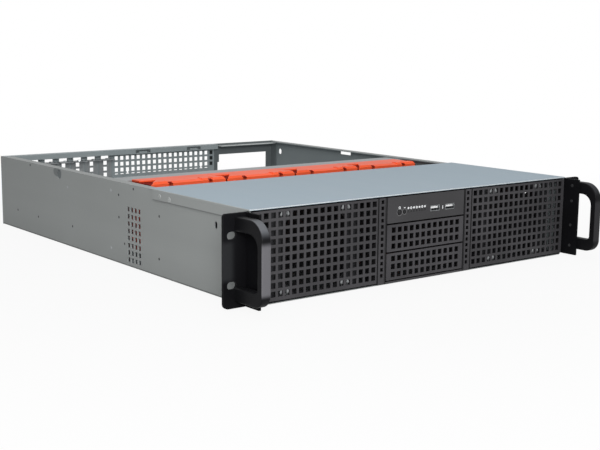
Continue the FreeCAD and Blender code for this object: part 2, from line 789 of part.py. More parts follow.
def ear_screws():
    """Countersunk heads that hold the ears to the tray, seen from outside."""
    x = half_tray + ear_wall - 1.5
    heads = [screw_head(ear_screw_head, 0.8, FreeCAD.Vector(x, ear_screw_depth, z),
                        FreeCAD.Vector(1, 0, 0)) for z in ear_screw_rows]
    return heads + [mirrored(head) for head in heads]


def handle_screws():
    """Screw heads behind the ear flanges that hold the handles."""
    x = handle_side + handle_thickness / 2
    back = ear_front + ear_flange
    heads = [screw_head(handle_screw_head, 1.6, FreeCAD.Vector(x, back, z), FreeCAD.Vector(0, 1, 0))
             for z in (handle_bottom + handle_leg / 2, handle_top - handle_leg / 2)]
    return heads + [mirrored(head) for head in heads]


# ================================================================= fan row
def fan_frame(index):
    """Removable fan carrier with a notched grip lip and a cut corner at the next carrier."""
    x0 = fan_row_left + fan_frame_pitch * index
    x1 = x0 + fan_frame_pitch - fan_frame_gap
    centre = (x0 + x1) / 2
    y0 = fan_row_front
    y1 = y0 + block_setback
    z0, z1 = fan_frame_bottom, fan_frame_top
    inner = fan_size / 2 + fan_clearance
    body = box(x0, x1, y1, fan_row_rear, z0, z1)
    cavity = box(centre - inner, centre + inner, y1 + fan_ring, fan_row_rear + 1,
                 fan_axis_z - fan_size / 2, fan_axis_z + inner)
    window = cut_corner_window(centre, fan_size - fan_ring_margin, y1, fan_ring)
    lip = prism([
        (y0, z1 - grip_lip), (y0 + fan_frame_wall, z1 - grip_lip), (y1, z1 - fan_frame_wall),
        (y1, z1), (y0 + grip_slope_depth, z1), (y0, z1 - grip_slope)],
        "x", x0, x1 - x0)
    notches = [box(x0 + start - notch_width / 2, x0 + start + notch_width / 2, y0 - 1,
                   y0 + notch_depth, z1 - grip_lip - 1, z1 - notch_cap) for start in grip_notches]
    vee = prism([(x0 - 1, y0 - 1), (x0 + 1, y0 - 1), (x0 + vee_width, y0 + vee_depth),
                 (x0 - 1, y0 + vee_depth)], "z", z1 - vee_drop, vee_drop + 1)
    return join([body, lip]).cut([cavity, window, vee] + notches)


def fan_housing(centre):
    """Square fan housing with a round duct, a motor base and three arms."""
    half = fan_size / 2
    y0, y1 = fan_front, fan_front + fan_depth
    shell = box(centre - half, centre + half, y0, y1, fan_axis_z - half, fan_axis_z + half)
    rear = FreeCAD.Vector(0, 1, 0)
    duct = faceted_bar(fan_duct_sides, fan_bore, fan_depth + 2,
                       FreeCAD.Vector(centre, y0 - 1, fan_axis_z), rear)
    base = faceted_bar(fan_hub_sides, fan_base, fan_base_thickness,
                       FreeCAD.Vector(centre, y1 - fan_base_thickness, fan_axis_z), rear)
    arm = box(centre - 2, centre + 2, y1 - fan_base_thickness, y1, fan_axis_z,
              fan_axis_z + fan_bore / 2 + 1)
    arms = [arm.rotated(FreeCAD.Vector(centre, 0, fan_axis_z), FreeCAD.Vector(0, 1, 0), 120 * k)
            for k in range(3)]
    bush = bar_y(centre, fan_axis_z, fan_axle / 2 + fan_axle_clearance, y1 - fan_bush, y1 + 1)
    return join([shell.cut(duct), base] + arms).cut(bush)


def fan_rotor(centre):
    """Hub with pitched blades on a short axle."""
    y0 = fan_front + fan_tip_gap
    y1 = fan_front + fan_depth - fan_base_thickness - button_gap
    hub = faceted_bar(fan_hub_sides, fan_hub, y1 - y0, FreeCAD.Vector(centre, y0, fan_axis_z),
                      FreeCAD.Vector(0, 1, 0))
    axle = bar_y(centre, fan_axis_z, fan_axle / 2, y1, y1 + fan_base_thickness)
    reach = fan_bore / 2 - 2 * fan_tip_gap
    chord = (y1 - y0) * 0.8 / math.cos(math.radians(fan_blade_angle))
    blade = box(-fan_blade_thickness / 2, fan_blade_thickness / 2, -chord / 2, chord / 2,
                fan_hub / 2 - 1, reach)
    blade.rotate(FreeCAD.Vector(0, 0, 0), FreeCAD.Vector(0, 0, 1), fan_blade_angle)
    blade.translate(FreeCAD.Vector(centre, (y0 + y1) / 2, fan_axis_z))
    blades = [blade.rotated(FreeCAD.Vector(centre, 0, fan_axis_z), FreeCAD.Vector(0, 1, 0),
                            360 * k / fan_blades) for k in range(fan_blades)]
    return join([hub, axle] + blades)


def fan_bracket():
    """Sheet wall behind the fan carriers, with a floor, a stop and a top flange."""
    x1 = half_inner - bracket_clearance
    wall_y = fan_row_rear + seam
    front = fan_row_front + block_setback - seam
    z0, z1 = sheet, tray_height - sheet - bracket_drop
    outline = [
        (front - bracket_sheet, z0), (wall_y + bracket_sheet, z0),
        (wall_y + bracket_sheet, z1 - bracket_sheet),
        (wall_y + bracket_flange, z1 - bracket_sheet), (wall_y + bracket_flange, z1),
        (wall_y, z1), (wall_y, z0 + bracket_sheet), (front, z0 + bracket_sheet),
        (front, z0 + bracket_stop), (front - bracket_sheet, z0 + bracket_stop)]
    folded = prism(outline, "x", -x1, 2 * x1)
    length, height = bracket_end
    row_end = fan_row_left + fan_frame_pitch * fan_count - fan_frame_gap
    ends = [box(x, x + bracket_sheet, wall_y - length, wall_y, z0, z0 + height)
            for x in (fan_row_left - seam - bracket_sheet, row_end + seam)]
    width = fan_size - bracket_window_margin
    windows = [cut_corner_window(x, width, wall_y, bracket_sheet) for x in fan_centres]
    return join([folded] + ends).cut(windows)


def standoffs():
    """Hexagonal pillars for the motherboard."""
    return [faceted_bar(6, standoff_flats, standoff_height,
                        FreeCAD.Vector(last_slot_x + x, shell_depth - y, sheet),
                        FreeCAD.Vector(0, 0, 1))
            for x in board_hole_offsets for y in board_hole_setbacks]


# ================================================================= assembly
def pieces():
    """Every piece by name, in the place it has in the finished case."""
    right_grille = grille()
    right_cage = drive_cage()
    right_ear = ear()
    right_handle = handle()
    named = {
        "chassis_tray": chassis_tray(),
        "rear_panel": rear_panel(),
        "slot_cover_screws": slot_screws(),
        "front_cover": front_cover(),
        "cover_screws": cover_screws(),
        "grille_right": right_grille,
        "grille_left": mirrored(right_grille),
        "centre_frame": centre_frame(),
        "bay_cover_lower": bay_cover(bay_first),
        "bay_cover_upper": bay_cover(bay_first + bay_pitch),
        "bay_cage": bay_cage(),
        "drive_cage_right": right_cage,
        "drive_cage_left": mirrored(right_cage),
        "front_fan_nuts": front_fan_nuts(),
        "control_panel": control_panel(),
        "power_button": button(power_x, power_radius),
        "reset_button": button(reset_x, reset_radius),
        "control_board": control_board(),
        "light_guides": light_guides(),
        "ear_right": right_ear,
        "ear_left": mirrored(right_ear),
        "handle_right": right_handle,
        "handle_left": mirrored(right_handle),
        "ear_screws": ear_screws(),
        "handle_screws": handle_screws(),
        "fan_bracket": fan_bracket(),
        "standoffs": standoffs(),
    }
    for side, x in zip(("left", "right"), usb_x):
        named["usb_shell_" + side] = usb_shell(x)
        named["usb_tongue_" + side] = usb_tongue_block(x)
    for number, x in enumerate(slot_centres, 1):
        named[f"slot_cover_{number}"] = slot_cover(x)
    for number, x in enumerate(fan_centres, 1):
        named[f"fan_frame_{number}"] = fan_frame(number - 1)
        named[f"fan_housing_{number}"] = fan_housing(x)
        named[f"fan_rotor_{number}"] = fan_rotor(x)
    return named


os.makedirs("parts", exist_ok=True)
for name, shape in pieces().items():
    if isinstance(shape, list):
        shape = Part.makeCompound(shape)
    shape.translated(FreeCAD.Vector(0, -origin_y, 0)).exportStep(f"parts/{name}.step")
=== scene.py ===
"""Dresses the empty rackmount server case: finishes for its sheet metal and plastic parts,
finely shaped handles, buttons, screws and fans, and a plain studio round it."""

import math

import bmesh
import bpy
import mathutils
import numpy as np
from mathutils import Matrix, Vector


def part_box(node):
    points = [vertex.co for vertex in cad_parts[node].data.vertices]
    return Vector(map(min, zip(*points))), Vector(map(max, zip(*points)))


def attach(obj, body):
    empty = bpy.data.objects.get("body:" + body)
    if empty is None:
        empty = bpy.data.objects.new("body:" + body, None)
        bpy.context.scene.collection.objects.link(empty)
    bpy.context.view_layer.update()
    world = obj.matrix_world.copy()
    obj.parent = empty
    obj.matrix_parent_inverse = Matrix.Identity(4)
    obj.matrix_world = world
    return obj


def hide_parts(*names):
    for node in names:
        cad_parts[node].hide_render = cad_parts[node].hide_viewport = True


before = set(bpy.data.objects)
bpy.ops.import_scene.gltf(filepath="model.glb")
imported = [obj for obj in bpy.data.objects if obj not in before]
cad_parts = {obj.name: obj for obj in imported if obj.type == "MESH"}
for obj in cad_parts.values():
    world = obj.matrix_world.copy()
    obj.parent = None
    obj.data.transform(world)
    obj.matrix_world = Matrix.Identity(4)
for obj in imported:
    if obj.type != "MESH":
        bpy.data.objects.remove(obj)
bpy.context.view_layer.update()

bl_info = {
    "name": "Rackmount Case Dressing",
    "version": (1, 0, 0),
    "blender": (4, 5, 0),
    "location": "View3D > Sidebar > Case",
    "description": "Finishes, fittings and studio for an empty rackmount server case",
    "category": "Object",
}


def middle(name):
    """Middle of a CAD node's box."""
    return np.array(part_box(name)).mean(0)


MM = 0.001
BUTTONS = ("power_button", "reset_button")
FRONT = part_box("grille_left")[0][1]
TRAY_HIGH = np.array(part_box("chassis_tray")[1])
CONTROL_ROW = middle("power_button")[2]
# Left, right and top edge of the board window in the rear panel.
IO_WINDOW = (-54.3 * MM, 104.45 * MM, 48.85 * MM)
# Middles of the two arched slits in the rear panel's top hem, along X.
SLIT_CENTRES = (-15 * MM, 67 * MM)
# Middle of the painted shade round the catch dimple high in the left wall, along Y and Z.
CATCH = (FRONT + 386 * MM, 83 * MM)
RIGHT = np.array([1.0, 0.0, 0.0])
REAR = np.array([0.0, 1.0, 0.0])
UP = np.array([0.0, 0.0, 1.0])


# ---------------------------------------------------------------- settings
COLOUR = {"subtype": "COLOR", "min": 0, "max": 1}
LENGTH = {"unit": "LENGTH", "subtype": "DISTANCE"}
ANGLE = {"unit": "ROTATION", "subtype": "ANGLE"}


class CaseFinishSettings(bpy.types.PropertyGroup):
    """Colours of the case's finishes."""
    outside: bpy.props.FloatVectorProperty(
        name="Outside paint", description="Grey paint on the outer faces of the tray",
        default=(0.345, 0.360, 0.353), **COLOUR)
    lid: bpy.props.FloatVectorProperty(
        name="Lid paint", description="Cool grey paint of the fixed front lid",
        default=(0.318, 0.390, 0.442), **COLOUR)
    inside: bpy.props.FloatVectorProperty(
        name="Inside steel", description="Dark coated steel of the inner faces",
        default=(0.245, 0.275, 0.282), **COLOUR)
    front: bpy.props.FloatVectorProperty(
        name="Front paint", description="Charcoal paint of the perforated front",
        default=(0.055, 0.053, 0.057), **COLOUR)
    ears: bpy.props.FloatVectorProperty(
        name="Ear paint", description="Black paint of the rack ears",
        default=(0.006, 0.006, 0.007), **COLOUR)
    grips: bpy.props.FloatVectorProperty(
        name="Handle plastic", description="Black plastic of the handles",
        default=(0.008, 0.008, 0.009), **COLOUR)
    carriers: bpy.props.FloatVectorProperty(
        name="Fan carriers", description="Orange plastic of the removable fan carriers",
        default=(0.95, 0.125, 0.046), **COLOUR)
    zinc: bpy.props.FloatVectorProperty(
        name="Zinc", description="Zinc-coated steel of slot covers, bracket and screws",
        default=(0.50, 0.52, 0.53), **COLOUR)


class CaseShapeSettings(bpy.types.PropertyGroup):
    """Sizes of the fittings that are shaped here."""
    grip_round: bpy.props.FloatProperty(
        name="Grip squareness",
        description="Power of the handle's rounded section; 2 is an ellipse",
        default=9.0, min=2, max=12)
    screw_round: bpy.props.FloatProperty(
        name="Screw head rise", description="Height of the domed screw heads",
        default=0.0008, min=0.0002, max=0.002, **LENGTH)
    blade_twist: bpy.props.FloatProperty(
        name="Blade twist", description="Turn of a fan blade from root to tip",
        default=math.radians(16), min=0, max=math.radians(40), **ANGLE)
    button_dish: bpy.props.FloatProperty(
        name="Button dish", description="Depth of the hollow in a button's face",
        default=0.00025, min=0, max=0.001, **LENGTH)


class CaseStageSettings(bpy.types.PropertyGroup):
    """Camera and light of the studio."""
    azimuth: bpy.props.FloatProperty(
        name="Camera azimuth", description="Turn of the camera round the case from its front",
        default=math.radians(-37.97), **ANGLE)
    elevation: bpy.props.FloatProperty(
        name="Camera elevation", description="Angle of the camera above the floor",
        default=math.radians(9.59), **ANGLE)
    roll: bpy.props.FloatProperty(
        name="Camera roll", description="Tilt of the camera about its own axis",
        default=math.radians(0.57), **ANGLE)
    place: bpy.props.FloatVectorProperty(
        name="Camera place", description="Where the camera stands",
        default=(-0.7463, -1.0072, 0.23066), subtype="TRANSLATION", unit="LENGTH")
    lens: bpy.props.FloatProperty(
        name="Lens", description="Focal length in millimetres on a 36 mm wide sensor",
        default=64.16, min=10, max=300, unit="CAMERA")
    level: bpy.props.FloatProperty(
        name="Ambient level", description="Strength of the even light from all sides",
        default=0.25, min=0, max=2)


# ---------------------------------------------------------------- shader maths
def feed(tree, port, value):
    """Links a value or socket to a port, or sets its number, vector or colour."""
    if isinstance(value, Value):
        value = value.socket
    if isinstance(value, bpy.types.NodeSocket):
        tree.links.new(value, port)
    elif port.type == "RGBA":
        port.default_value = (*value[:3], 1)
    else:
        port.default_value = value


def add_node(tree, kind, settings=None, inputs=None):
    """A node of this kind: its settings are made first, then its inputs are set or linked."""
    node = tree.nodes.new(kind)
    for key, setting in (settings or {}).items():
        setattr(node, key, setting)
    for key, value in (inputs or {}).items():
        feed(tree, node.inputs[key], value)
    return node


class Value:
    """A number in a node tree. Python arithmetic on it adds Math nodes."""

    def __init__(self, tree, socket):
        self.tree = tree
        self.socket = socket

    def math(self, operation, *operands):
        """The result of one Math node on these operands, in order."""
        node = add_node(self.tree, "ShaderNodeMath", {"operation": operation},
                        dict(enumerate(operands)))
        return Value(self.tree, node.outputs[0])

    def __add__(self, other):
        return self.math("ADD", self, other)

    def __radd__(self, other):
        return self.math("ADD", other, self)

    def __sub__(self, other):
        return self.math("SUBTRACT", self, other)

    def __rsub__(self, other):
        return self.math("SUBTRACT", other, self)

    def __mul__(self, other):
        return self.math("MULTIPLY", self, other)

    def __rmul__(self, other):
        return self.math("MULTIPLY", other, self)

    def __truediv__(self, other):
        return self.math("DIVIDE", self, other)

    def __rtruediv__(self, other):
        return self.math("DIVIDE", other, self)

    def __lt__(self, other):
        return self.math("LESS_THAN", self, other)

    def __gt__(self, other):
        return self.math("GREATER_THAN", self, other)

    def __abs__(self):
        return self.math("ABSOLUTE", self)

    def __pow__(self, other):
        return self.math("POWER", self, other)

    def larger(self, other):
        """The larger of two values."""
        return self.math("MAXIMUM", self, other)

    def fraction(self):
        """What is left over the whole number below."""
        return self.math("FRACT", self)

    def between(self, low, high):
        """1 between two bounds, 0 outside."""
        return (self > low) * (self < high)

    def near(self, centre, reach):
        """1 within a reach of a centre, 0 outside."""
        return abs(self - centre) < reach

    def smooth(self, low, high):
        """0 below low, 1 above high, with a smooth step between."""
        node = add_node(self.tree, "ShaderNodeMapRange", {"interpolation_type": "SMOOTHSTEP"},
                        {"Value": self, "From Min": low, "From Max": high})
        return Value(self.tree, node.outputs["Result"])


class Finish:
    """A material in the making: one principled shader and the nodes that feed it."""

    def __init__(self, name, roughness=0.5, metallic=0.0, specular=0.5):
        self.material = bpy.data.materials.new(name)
        self.material.use_nodes = True
        self.tree = self.material.node_tree
        self.tree.nodes.clear()
        self.shader = self.node("ShaderNodeBsdfPrincipled", None, {
            "Roughness": roughness, "Metallic": metallic, "Specular IOR Level": specular})
        self.output = self.node("ShaderNodeOutputMaterial")
        self.surface(self.shader)
        self.place = self.node("ShaderNodeTexCoord").outputs["Object"]

    def surface(self, shader):
        """Makes a shader node the one that is seen."""
        feed(self.tree, self.output.inputs["Surface"], shader.outputs[0])

    def node(self, kind, settings=None, inputs=None):
        """A node of this material."""
        return add_node(self.tree, kind, settings, inputs)

    def axes(self):
        """The place on the piece as three values, in metres."""
        split = self.node("ShaderNodeSeparateXYZ", None, {0: self.place})
        return [Value(self.tree, port) for port in split.outputs]

    def stretched(self, factors):
        """The place on the piece, scaled along each axis."""
        node = self.node("ShaderNodeVectorMath", {"operation": "MULTIPLY"},
                         {0: self.place, 1: factors})
        return node.outputs[0]

    def noise(self, scale, detail=2.0, factors=(1, 1, 1)):
        """Soft noise from 0 to 1 with this many features in a metre."""
        node = self.node("ShaderNodeTexNoise", None, {
            "Scale": scale, "Detail": detail, "Vector": self.stretched(factors)})
        return Value(self.tree, node.outputs["Fac"])

    def cells(self, scale):
        """A random number from 0 to 1 for each crystal-like cell."""
        node = self.node("ShaderNodeTexVoronoi", None, {
            "Scale": scale, "Vector": self.stretched((1, 1, 1))})
        split = self.node("ShaderNodeSeparateColor", None, {0: node.outputs["Color"]})
        return Value(self.tree, split.outputs[0])

    def blend(self, factor, first, second):
        """A colour that goes from first to second as factor goes from 0 to 1."""
        node = self.node("ShaderNodeMix", {"data_type": "RGBA"},
                         {"Factor": factor, 6: first, 7: second})
        return node.outputs[2]

    def colour(self, value):
        """Sets or links the base colour."""
        feed(self.tree, self.shader.inputs["Base Color"], value)

    def mottle(self, tone, colour, dark, light):
        """Colours the surface with a colour times dark where tone is 0 and light where it is 1."""
        self.colour(self.blend(tone, tinted(colour, dark), tinted(colour, light)))

    def over(self, mask, colour):
        """Lays a colour or colour socket over the base colour, as far as the mask goes to 1."""
        below = self.shader.inputs["Base Color"].links[0].from_socket
        self.colour(self.blend(mask, below, colour))

    def rough(self, value):
        """Sets or links the roughness."""
        feed(self.tree, self.shader.inputs["Roughness"], value)

    def relief(self, height, distance):
        """Bumps the surface by height, from 0 to 1, times a distance in metres."""
        node = self.node("ShaderNodeBump", None, {
            "Height": height, "Distance": distance, "Strength": 1.0})
        feed(self.tree, self.shader.inputs["Normal"], node.outputs[0])


def tinted(colour, factor):
    """A colour made lighter or darker by a factor."""
    return tuple(min(1.0, channel * factor) for channel in colour[:3])


# ---------------------------------------------------------------- finishes
def rolled_paint(name, colour, mottle=0.10, roughness=0.42):
    """Thin satin paint on rolled sheet: faint streaks along the roll and a fine orange peel."""
    finish = Finish(name, roughness, specular=0.2)
    streaks = finish.noise(40, 3, (1, 0.06, 1))
    clouds = finish.noise(9, 2)
    tone = (streaks * 0.6 + clouds * 0.4).smooth(0.3, 0.7)
    finish.mottle(tone, colour, 1 - mottle, 1 + mottle)
    finish.rough(roughness - 0.05 + tone * 0.1)
    finish.relief(finish.noise(1500, 1), 0.02 * MM)
    return finish


def tray_steel(outside, inside):
    """Sheet with grey paint on its outer faces and dark coated steel on its inner ones, with
    painted shade: darker on the top lip, along the bottom fold, under the cages and in the floor of
    the catch dimple, and a soft oval of painted shade round the catch."""
    finish = Finish("tray_steel", 0.42, specular=0.2)
    x, y, z = finish.axes()
    wall, lip_top = TRAY_HIGH[0], TRAY_HIGH[2] - 0.3 * MM
    lid_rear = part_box("front_cover")[1][1]
    outer_wall = abs(x) > (wall - 0.6 * MM)
    outer = outer_wall.larger((z < 0.6 * MM).larger(z > lip_top))
    dimple_floor_shade = (abs(x) > (wall - 0.85 * MM)) * (x < 0) * (1 - outer_wall)
    shade_under_cages = (1 - outer) * (y < (lid_rear - 4 * MM)) * (z < 3 * MM)
    off_catch = (((y - CATCH[0]) / (11 * MM)) ** 2 + ((z - CATCH[1]) / (5.8 * MM)) ** 2) ** 0.5
    catch = (1 - off_catch.smooth(0.75, 1.1)) * (x < 0) * outer_wall
    streaks = finish.noise(36, 3, (1, 0.05, 1))
    tone = (streaks * 0.5 + finish.noise(7, 2) * 0.5).smooth(0.3, 0.7)
    grain = finish.noise(18, 3).smooth(0.3, 0.7)
    finish.mottle(grain, inside, 0.97, 1.03)
    # Painted shade: the inner floor under the cages is darkened.
    finish.over(shade_under_cages, tinted(inside, 0.2))
    finish.over(outer, finish.blend(tone, tinted(outside, 0.94), tinted(outside, 1.05)))
    # Painted shade: the top of the lip is darker than the outside paint.
    finish.over(z > lip_top, tinted(outside, 0.82))
    # Painted shade: a dark strip along the bottom fold of the outer walls.
    finish.over(outer_wall * (z < 2 * MM), tinted(outside, 0.55))
    # Painted shade: a soft dark oval round the catch on the left wall.
    finish.over(catch * 0.75, tinted(inside, 0.55))
    # Painted shade: the floor of the catch dimple is darkened.
    finish.over(dimple_floor_shade, tinted(inside, 0.62))
    finish.rough(0.40 + outer * (tone * 0.08 + 0.02))
    finish.relief(finish.noise(1500, 1), 0.02 * MM)
    return finish


def rear_steel(inside, outside):
    """Rear wall: inner steel with painted shade on the floors of its blind windows, round the hem's
    arched slits and over the power-supply end, with a painted highlight on the ledge there, and
    grey outside."""
    finish = rolled_paint("rear_steel", inside, 0.04, 0.42)
    x, y, z = finish.axes()
    outer_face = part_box("rear_panel")[1][1]
    hem_rear = FRONT + 539.3 * MM
    supply_side = IO_WINDOW[1] + 4 * MM
    shaded = x > supply_side
    for centre in SLIT_CENTRES:
        surround = x.near(centre, 11.5 * MM) * z.between(81.5 * MM, 85.8 * MM)
        tab = x.near(centre, 6 * MM) * (z < 83.8 * MM)
        shaded = shaded.larger(surround * (1 - tab) * (y < hem_rear))
    ledge = z.between(83.8 * MM, 84.2 * MM) * (x > supply_side) * (y < (outer_face - 1.3 * MM))
    blind = y.between(outer_face - 0.45 * MM, outer_face - 0.35 * MM)
    # Painted shade over the power-supply end and round the arched slits.
    finish.over(shaded, tinted(inside, 0.46))
    # Painted highlight: the ledge by the power-supply end is made light.
    finish.over(ledge, tinted(outside, 1.6))
    finish.over(y > (outer_face - 0.2 * MM), outside)
    # Painted shade: the floors of the blind windows are near black.
    finish.over(blind, tinted(inside, 0.08))
    return finish


def lid_paint(top, sides):
    """Cool grey on the flat of the lid, the tray's grey on its folded sides with painted shade
    along their lower edge, and a painted highlight along the front edge."""
    finish = rolled_paint("lid_paint", top, 0.02, 0.46)
    x, y, z = finish.axes()
    low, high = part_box("front_cover")
    folded = abs(x) > (TRAY_HIGH[0] + 0.3 * MM)
    edge_highlight = (y < (low[1] + 0.7 * MM)) * (z > (high[2] - 0.6 * MM))
    # Painted shade: the folded sides darken along their lower edge.
    edged = finish.blend(z < (low[2] + 1 * MM), sides, tinted(sides, 0.62))
    finish.over(folded, edged)
    # Painted highlight along the front edge of the lid.
    finish.over(edge_highlight, (0.66, 0.70, 0.72))
    return finish


def dark_coat(name, colour, roughness=0.45, grain=1800, depth=0.03 * MM, specular=0.25):
    """Textured dark powder coat: a fine even grain with slightly lighter clouds of wear."""
    finish = Finish(name, roughness, 0.0, specular)
    clouds = finish.noise(14, 3).smooth(0.35, 0.7)
    specks = finish.noise(grain, 2)
    finish.mottle(clouds, colour, 0.85, 1.2)
    finish.rough(roughness - 0.06 + specks * 0.12)
    finish.relief(specks, depth)
    return finish


def front_coat(colour):
    """The front's powder coat, with painted shade that makes it near black in its seams and on the
    folds behind its face.
    """
    finish = dark_coat("front_coat", colour)
    x, y, _ = finish.axes()
    outer_seam = (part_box("centre_frame")[1][0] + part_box("grille_right")[0][0]) / 2
    bay_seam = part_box("bay_cover_lower")[1][0] + 0.6 * MM
    seams = abs(x).near(outer_seam, 1 * MM).larger(abs(x).near(bay_seam, 1.2 * MM))
    behind = y > (FRONT + 0.4 * MM)
    # Painted shade: near black in the seams and on the folds behind the face.
    finish.over(behind.larger(seams), tinted(colour, 0.3))
    return finish


def spangled_zinc(name, colour, metallic=0.85, roughness=0.38):
    """Zinc-coated sheet: frost-like crystals a few millimetres across."""
    finish = Finish(name, roughness, metallic)
    crystals = finish.cells(160) * 0.6 + finish.cells(340) * 0.4
    haze = finish.noise(12, 3)
    tone = crystals * 0.7 + haze * 0.3
    finish.mottle(tone, colour, 0.86, 1.10)
    finish.rough(roughness - 0.08 + crystals * 0.16)
    finish.relief(finish.noise(900, 2), 0.02 * MM)
    return finish


def moulded_plastic(name, colour, roughness=0.42, grain=2400, depth=0.02 * MM, variation=0.06,
                    specular=0.3):
    """Injection-moulded plastic: spark-eroded grain and faint flow marks."""
    finish = Finish(name, roughness, 0.0, specular)
    flow = finish.noise(18, 2, (1, 0.4, 1)).smooth(0.3, 0.7)
    grains = finish.noise(grain, 2)
    finish.mottle(flow, colour, 1 - variation, 1 + variation)
    finish.rough(roughness - 0.05 + grains * 0.1)
    finish.relief(grains, depth)
    return finish


def ear_coat(colour):
    """Near-black coat of the ears, with a painted sheen that makes it paler near the outer edge
    between the slots.
    """
    finish = dark_coat("ear_coat", colour, 0.5, specular=0.06)
    x, y, z = finish.axes()
    low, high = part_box("ear_right")
    between = 1 - abs(z - (low[2] + high[2]) / 2).smooth(14 * MM, 20 * MM)
    outward = abs(x).smooth(high[0] - 13.5 * MM, high[0] - 6 * MM)
    painted_sheen = between * outward * (y < (FRONT + 6 * MM))
    # Painted sheen: paler near the outer edge between the slots.
    finish.over(painted_sheen, (0.024, 0.025, 0.027))
    return finish


def grip_plastic(colour):
    """Black handle plastic with painted highlights that make it paler down the front and over the
    upper bend, more on the left handle than on the right."""
    finish = moulded_plastic("grip_plastic", colour, 0.38, 1500, specular=0.08)
    x, y, z = finish.axes()
    low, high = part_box("handle_right")
    width = high[0] - low[0]
    off_middle = abs(abs(x) - (low[0] + high[0]) / 2)
    inward = 1 - off_middle.smooth(width * 0.36, width * 0.46)
    bend = (z.smooth(high[2] - 15 * MM, high[2] - 6 * MM) * inward
            * (1 - y.smooth(low[1] + 10 * MM, low[1] + 26 * MM)))
    front = 1 - y.smooth(low[1] + 0.6 * MM, low[1] + 1.6 * MM)
    sheen_height = (z.smooth(low[2] + 9 * MM, low[2] + 14 * MM)
            * (1 - z.smooth(low[2] + 53 * MM, low[2] + 59 * MM)))
    sheen_by_side = (x < 0) * 0.8 + 0.2
    # Painted highlight over the upper bend, stronger on the left handle.
    finish.over(bend * sheen_by_side, (0.115, 0.120, 0.130))
    # Painted sheen down the front of the grip, stronger on the left handle.
    finish.over(front * sheen_height * sheen_by_side, (0.140, 0.137, 0.147))
    return finish


def carrier_plastic(colour):
    """Orange carrier plastic with dark painted shade in the notches, the corner cuts and the
    joints.
    """
    finish = moulded_plastic("carrier_plastic", colour, 0.36, 1400, variation=0.05, specular=0.10)
    x, y, z = finish.axes()
    (left, front, _), (_, _, top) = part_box("fan_frame_1")
    pitch = (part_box("fan_frame_4")[0][0] - left) / 3
    run = ((x - left) / pitch).fraction() * pitch
    lip = (y < (front + 4.2 * MM)) * (z > (top - 7.5 * MM))
    notch = run.near(24.6 * MM, 2.4 * MM).larger(run.near(74.6 * MM, 2.4 * MM)) * lip
    joint = (run < 0.8 * MM).larger(run > (pitch - 1.2 * MM)) * (y < (front + 14 * MM))
    corner_cut = z.between(top - 2.5 * MM, top - 1.5 * MM) * (y > (front + 1.5 * MM))
    gap_shade = notch.larger(joint).larger(corner_cut)
    # Painted shade: dark red in the notches, the joints and the corner cuts.
    finish.over(gap_shade, (0.20 * colour[0], 0.05 * colour[1], 0))
    finish.rough(0.34 + gap_shade * 0.5)
    return finish


def box_mask(x, z, centre_x, centre_z, half_x, half_z):
    """1 inside an upright rectangle on the front face, 0 outside."""
    return x.near(centre_x, half_x) * z.near(centre_z, half_z)


def ring_mask(x, z, centre_x, centre_z, radius, half_line):
    """1 on a thin ring on the front face, 0 elsewhere."""
    reach = ((x - centre_x) ** 2 + (z - centre_z) ** 2) ** 0.5
    return reach.near(radius, half_line)


def control_plastic(colour, ink_and_glint=(0.85, 0.86, 0.87)):
    """Black panel plastic with plain printed rings and bars above the controls, and a faint painted
    highlight ring round each button's collar.
    """
    finish = Finish("control_plastic", 0.40)
    x, y, z = finish.axes()
    marks_z = CONTROL_ROW + 3.1 * MM
    power_x, reset_x = (middle(name)[0] for name in BUTTONS)
    masks = [ring_mask(x, z, power_x, marks_z + 1.2 * MM, 1.1 * MM, 0.3 * MM),
             box_mask(x, z, reset_x, marks_z + 0.9 * MM, 1.1 * MM, 0.4 * MM)]
    for name, centre in zip(BUTTONS, (power_x, reset_x)):
        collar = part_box(name)[1][0] - centre
        # Painted highlight: a faint light ring round each button's collar.
        masks.append(ring_mask(x, z, centre, CONTROL_ROW, collar, 0.22 * MM) * 0.16)
    low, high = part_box("light_guides")
    for number, centre in enumerate(np.linspace(low[0] + 1 * MM, high[0] - 1 * MM, 7)):
        if number % 2:
            masks.append(ring_mask(x, z, centre, marks_z, 0.9 * MM, 0.4 * MM))
        else:
            masks.append(box_mask(x, z, centre, marks_z, 1.1 * MM, 0.9 * MM))
    between_ports = (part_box("usb_shell_left")[1][0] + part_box("usb_shell_right")[0][0]) / 2
    masks.append(box_mask(x, z, between_ports, CONTROL_ROW + 0.2 * MM, 0.5 * MM, 1.7 * MM))
    print_and_glints = masks[0]
    for mask in masks[1:]:
        print_and_glints = print_and_glints.larger(mask)
    print_and_glints = print_and_glints * (y < (FRONT + 0.3 * MM))
    clouds = finish.noise(20, 2).smooth(0.35, 0.7)
    grains = finish.noise(2600, 2)
    finish.mottle(clouds, colour, 0.9, 1.12)
    finish.over(print_and_glints, ink_and_glint)
    finish.rough(0.34 + grains * 0.1)
    finish.relief(grains, 0.02 * MM)
    return finish


def board_laminate():
    """Green solder mask over copper tracks."""
    finish = Finish("board_laminate", 0.28)
    lanes = finish.noise(220, 0, (1, 0.15, 1)).smooth(0.52, 0.56)
    crossings = finish.noise(200, 0, (0.15, 1, 1)).smooth(0.54, 0.58)
    copper = lanes.larger(crossings)
    finish.colour(finish.blend(copper, (0.010, 0.075, 0.028), (0.030, 0.150, 0.055)))
    finish.relief(copper, 0.03 * MM)
    return finish


def turned_brass():
    """Turned brass with fine tool rings."""
    finish = Finish("turned_brass", 0.30, 1.0)
    rings = finish.noise(900, 1, (0.1, 0.1, 1))
    finish.colour(finish.blend(rings, (0.55, 0.38, 0.12), (0.75, 0.56, 0.24)))
    finish.rough(0.24 + rings * 0.14)
    return finish


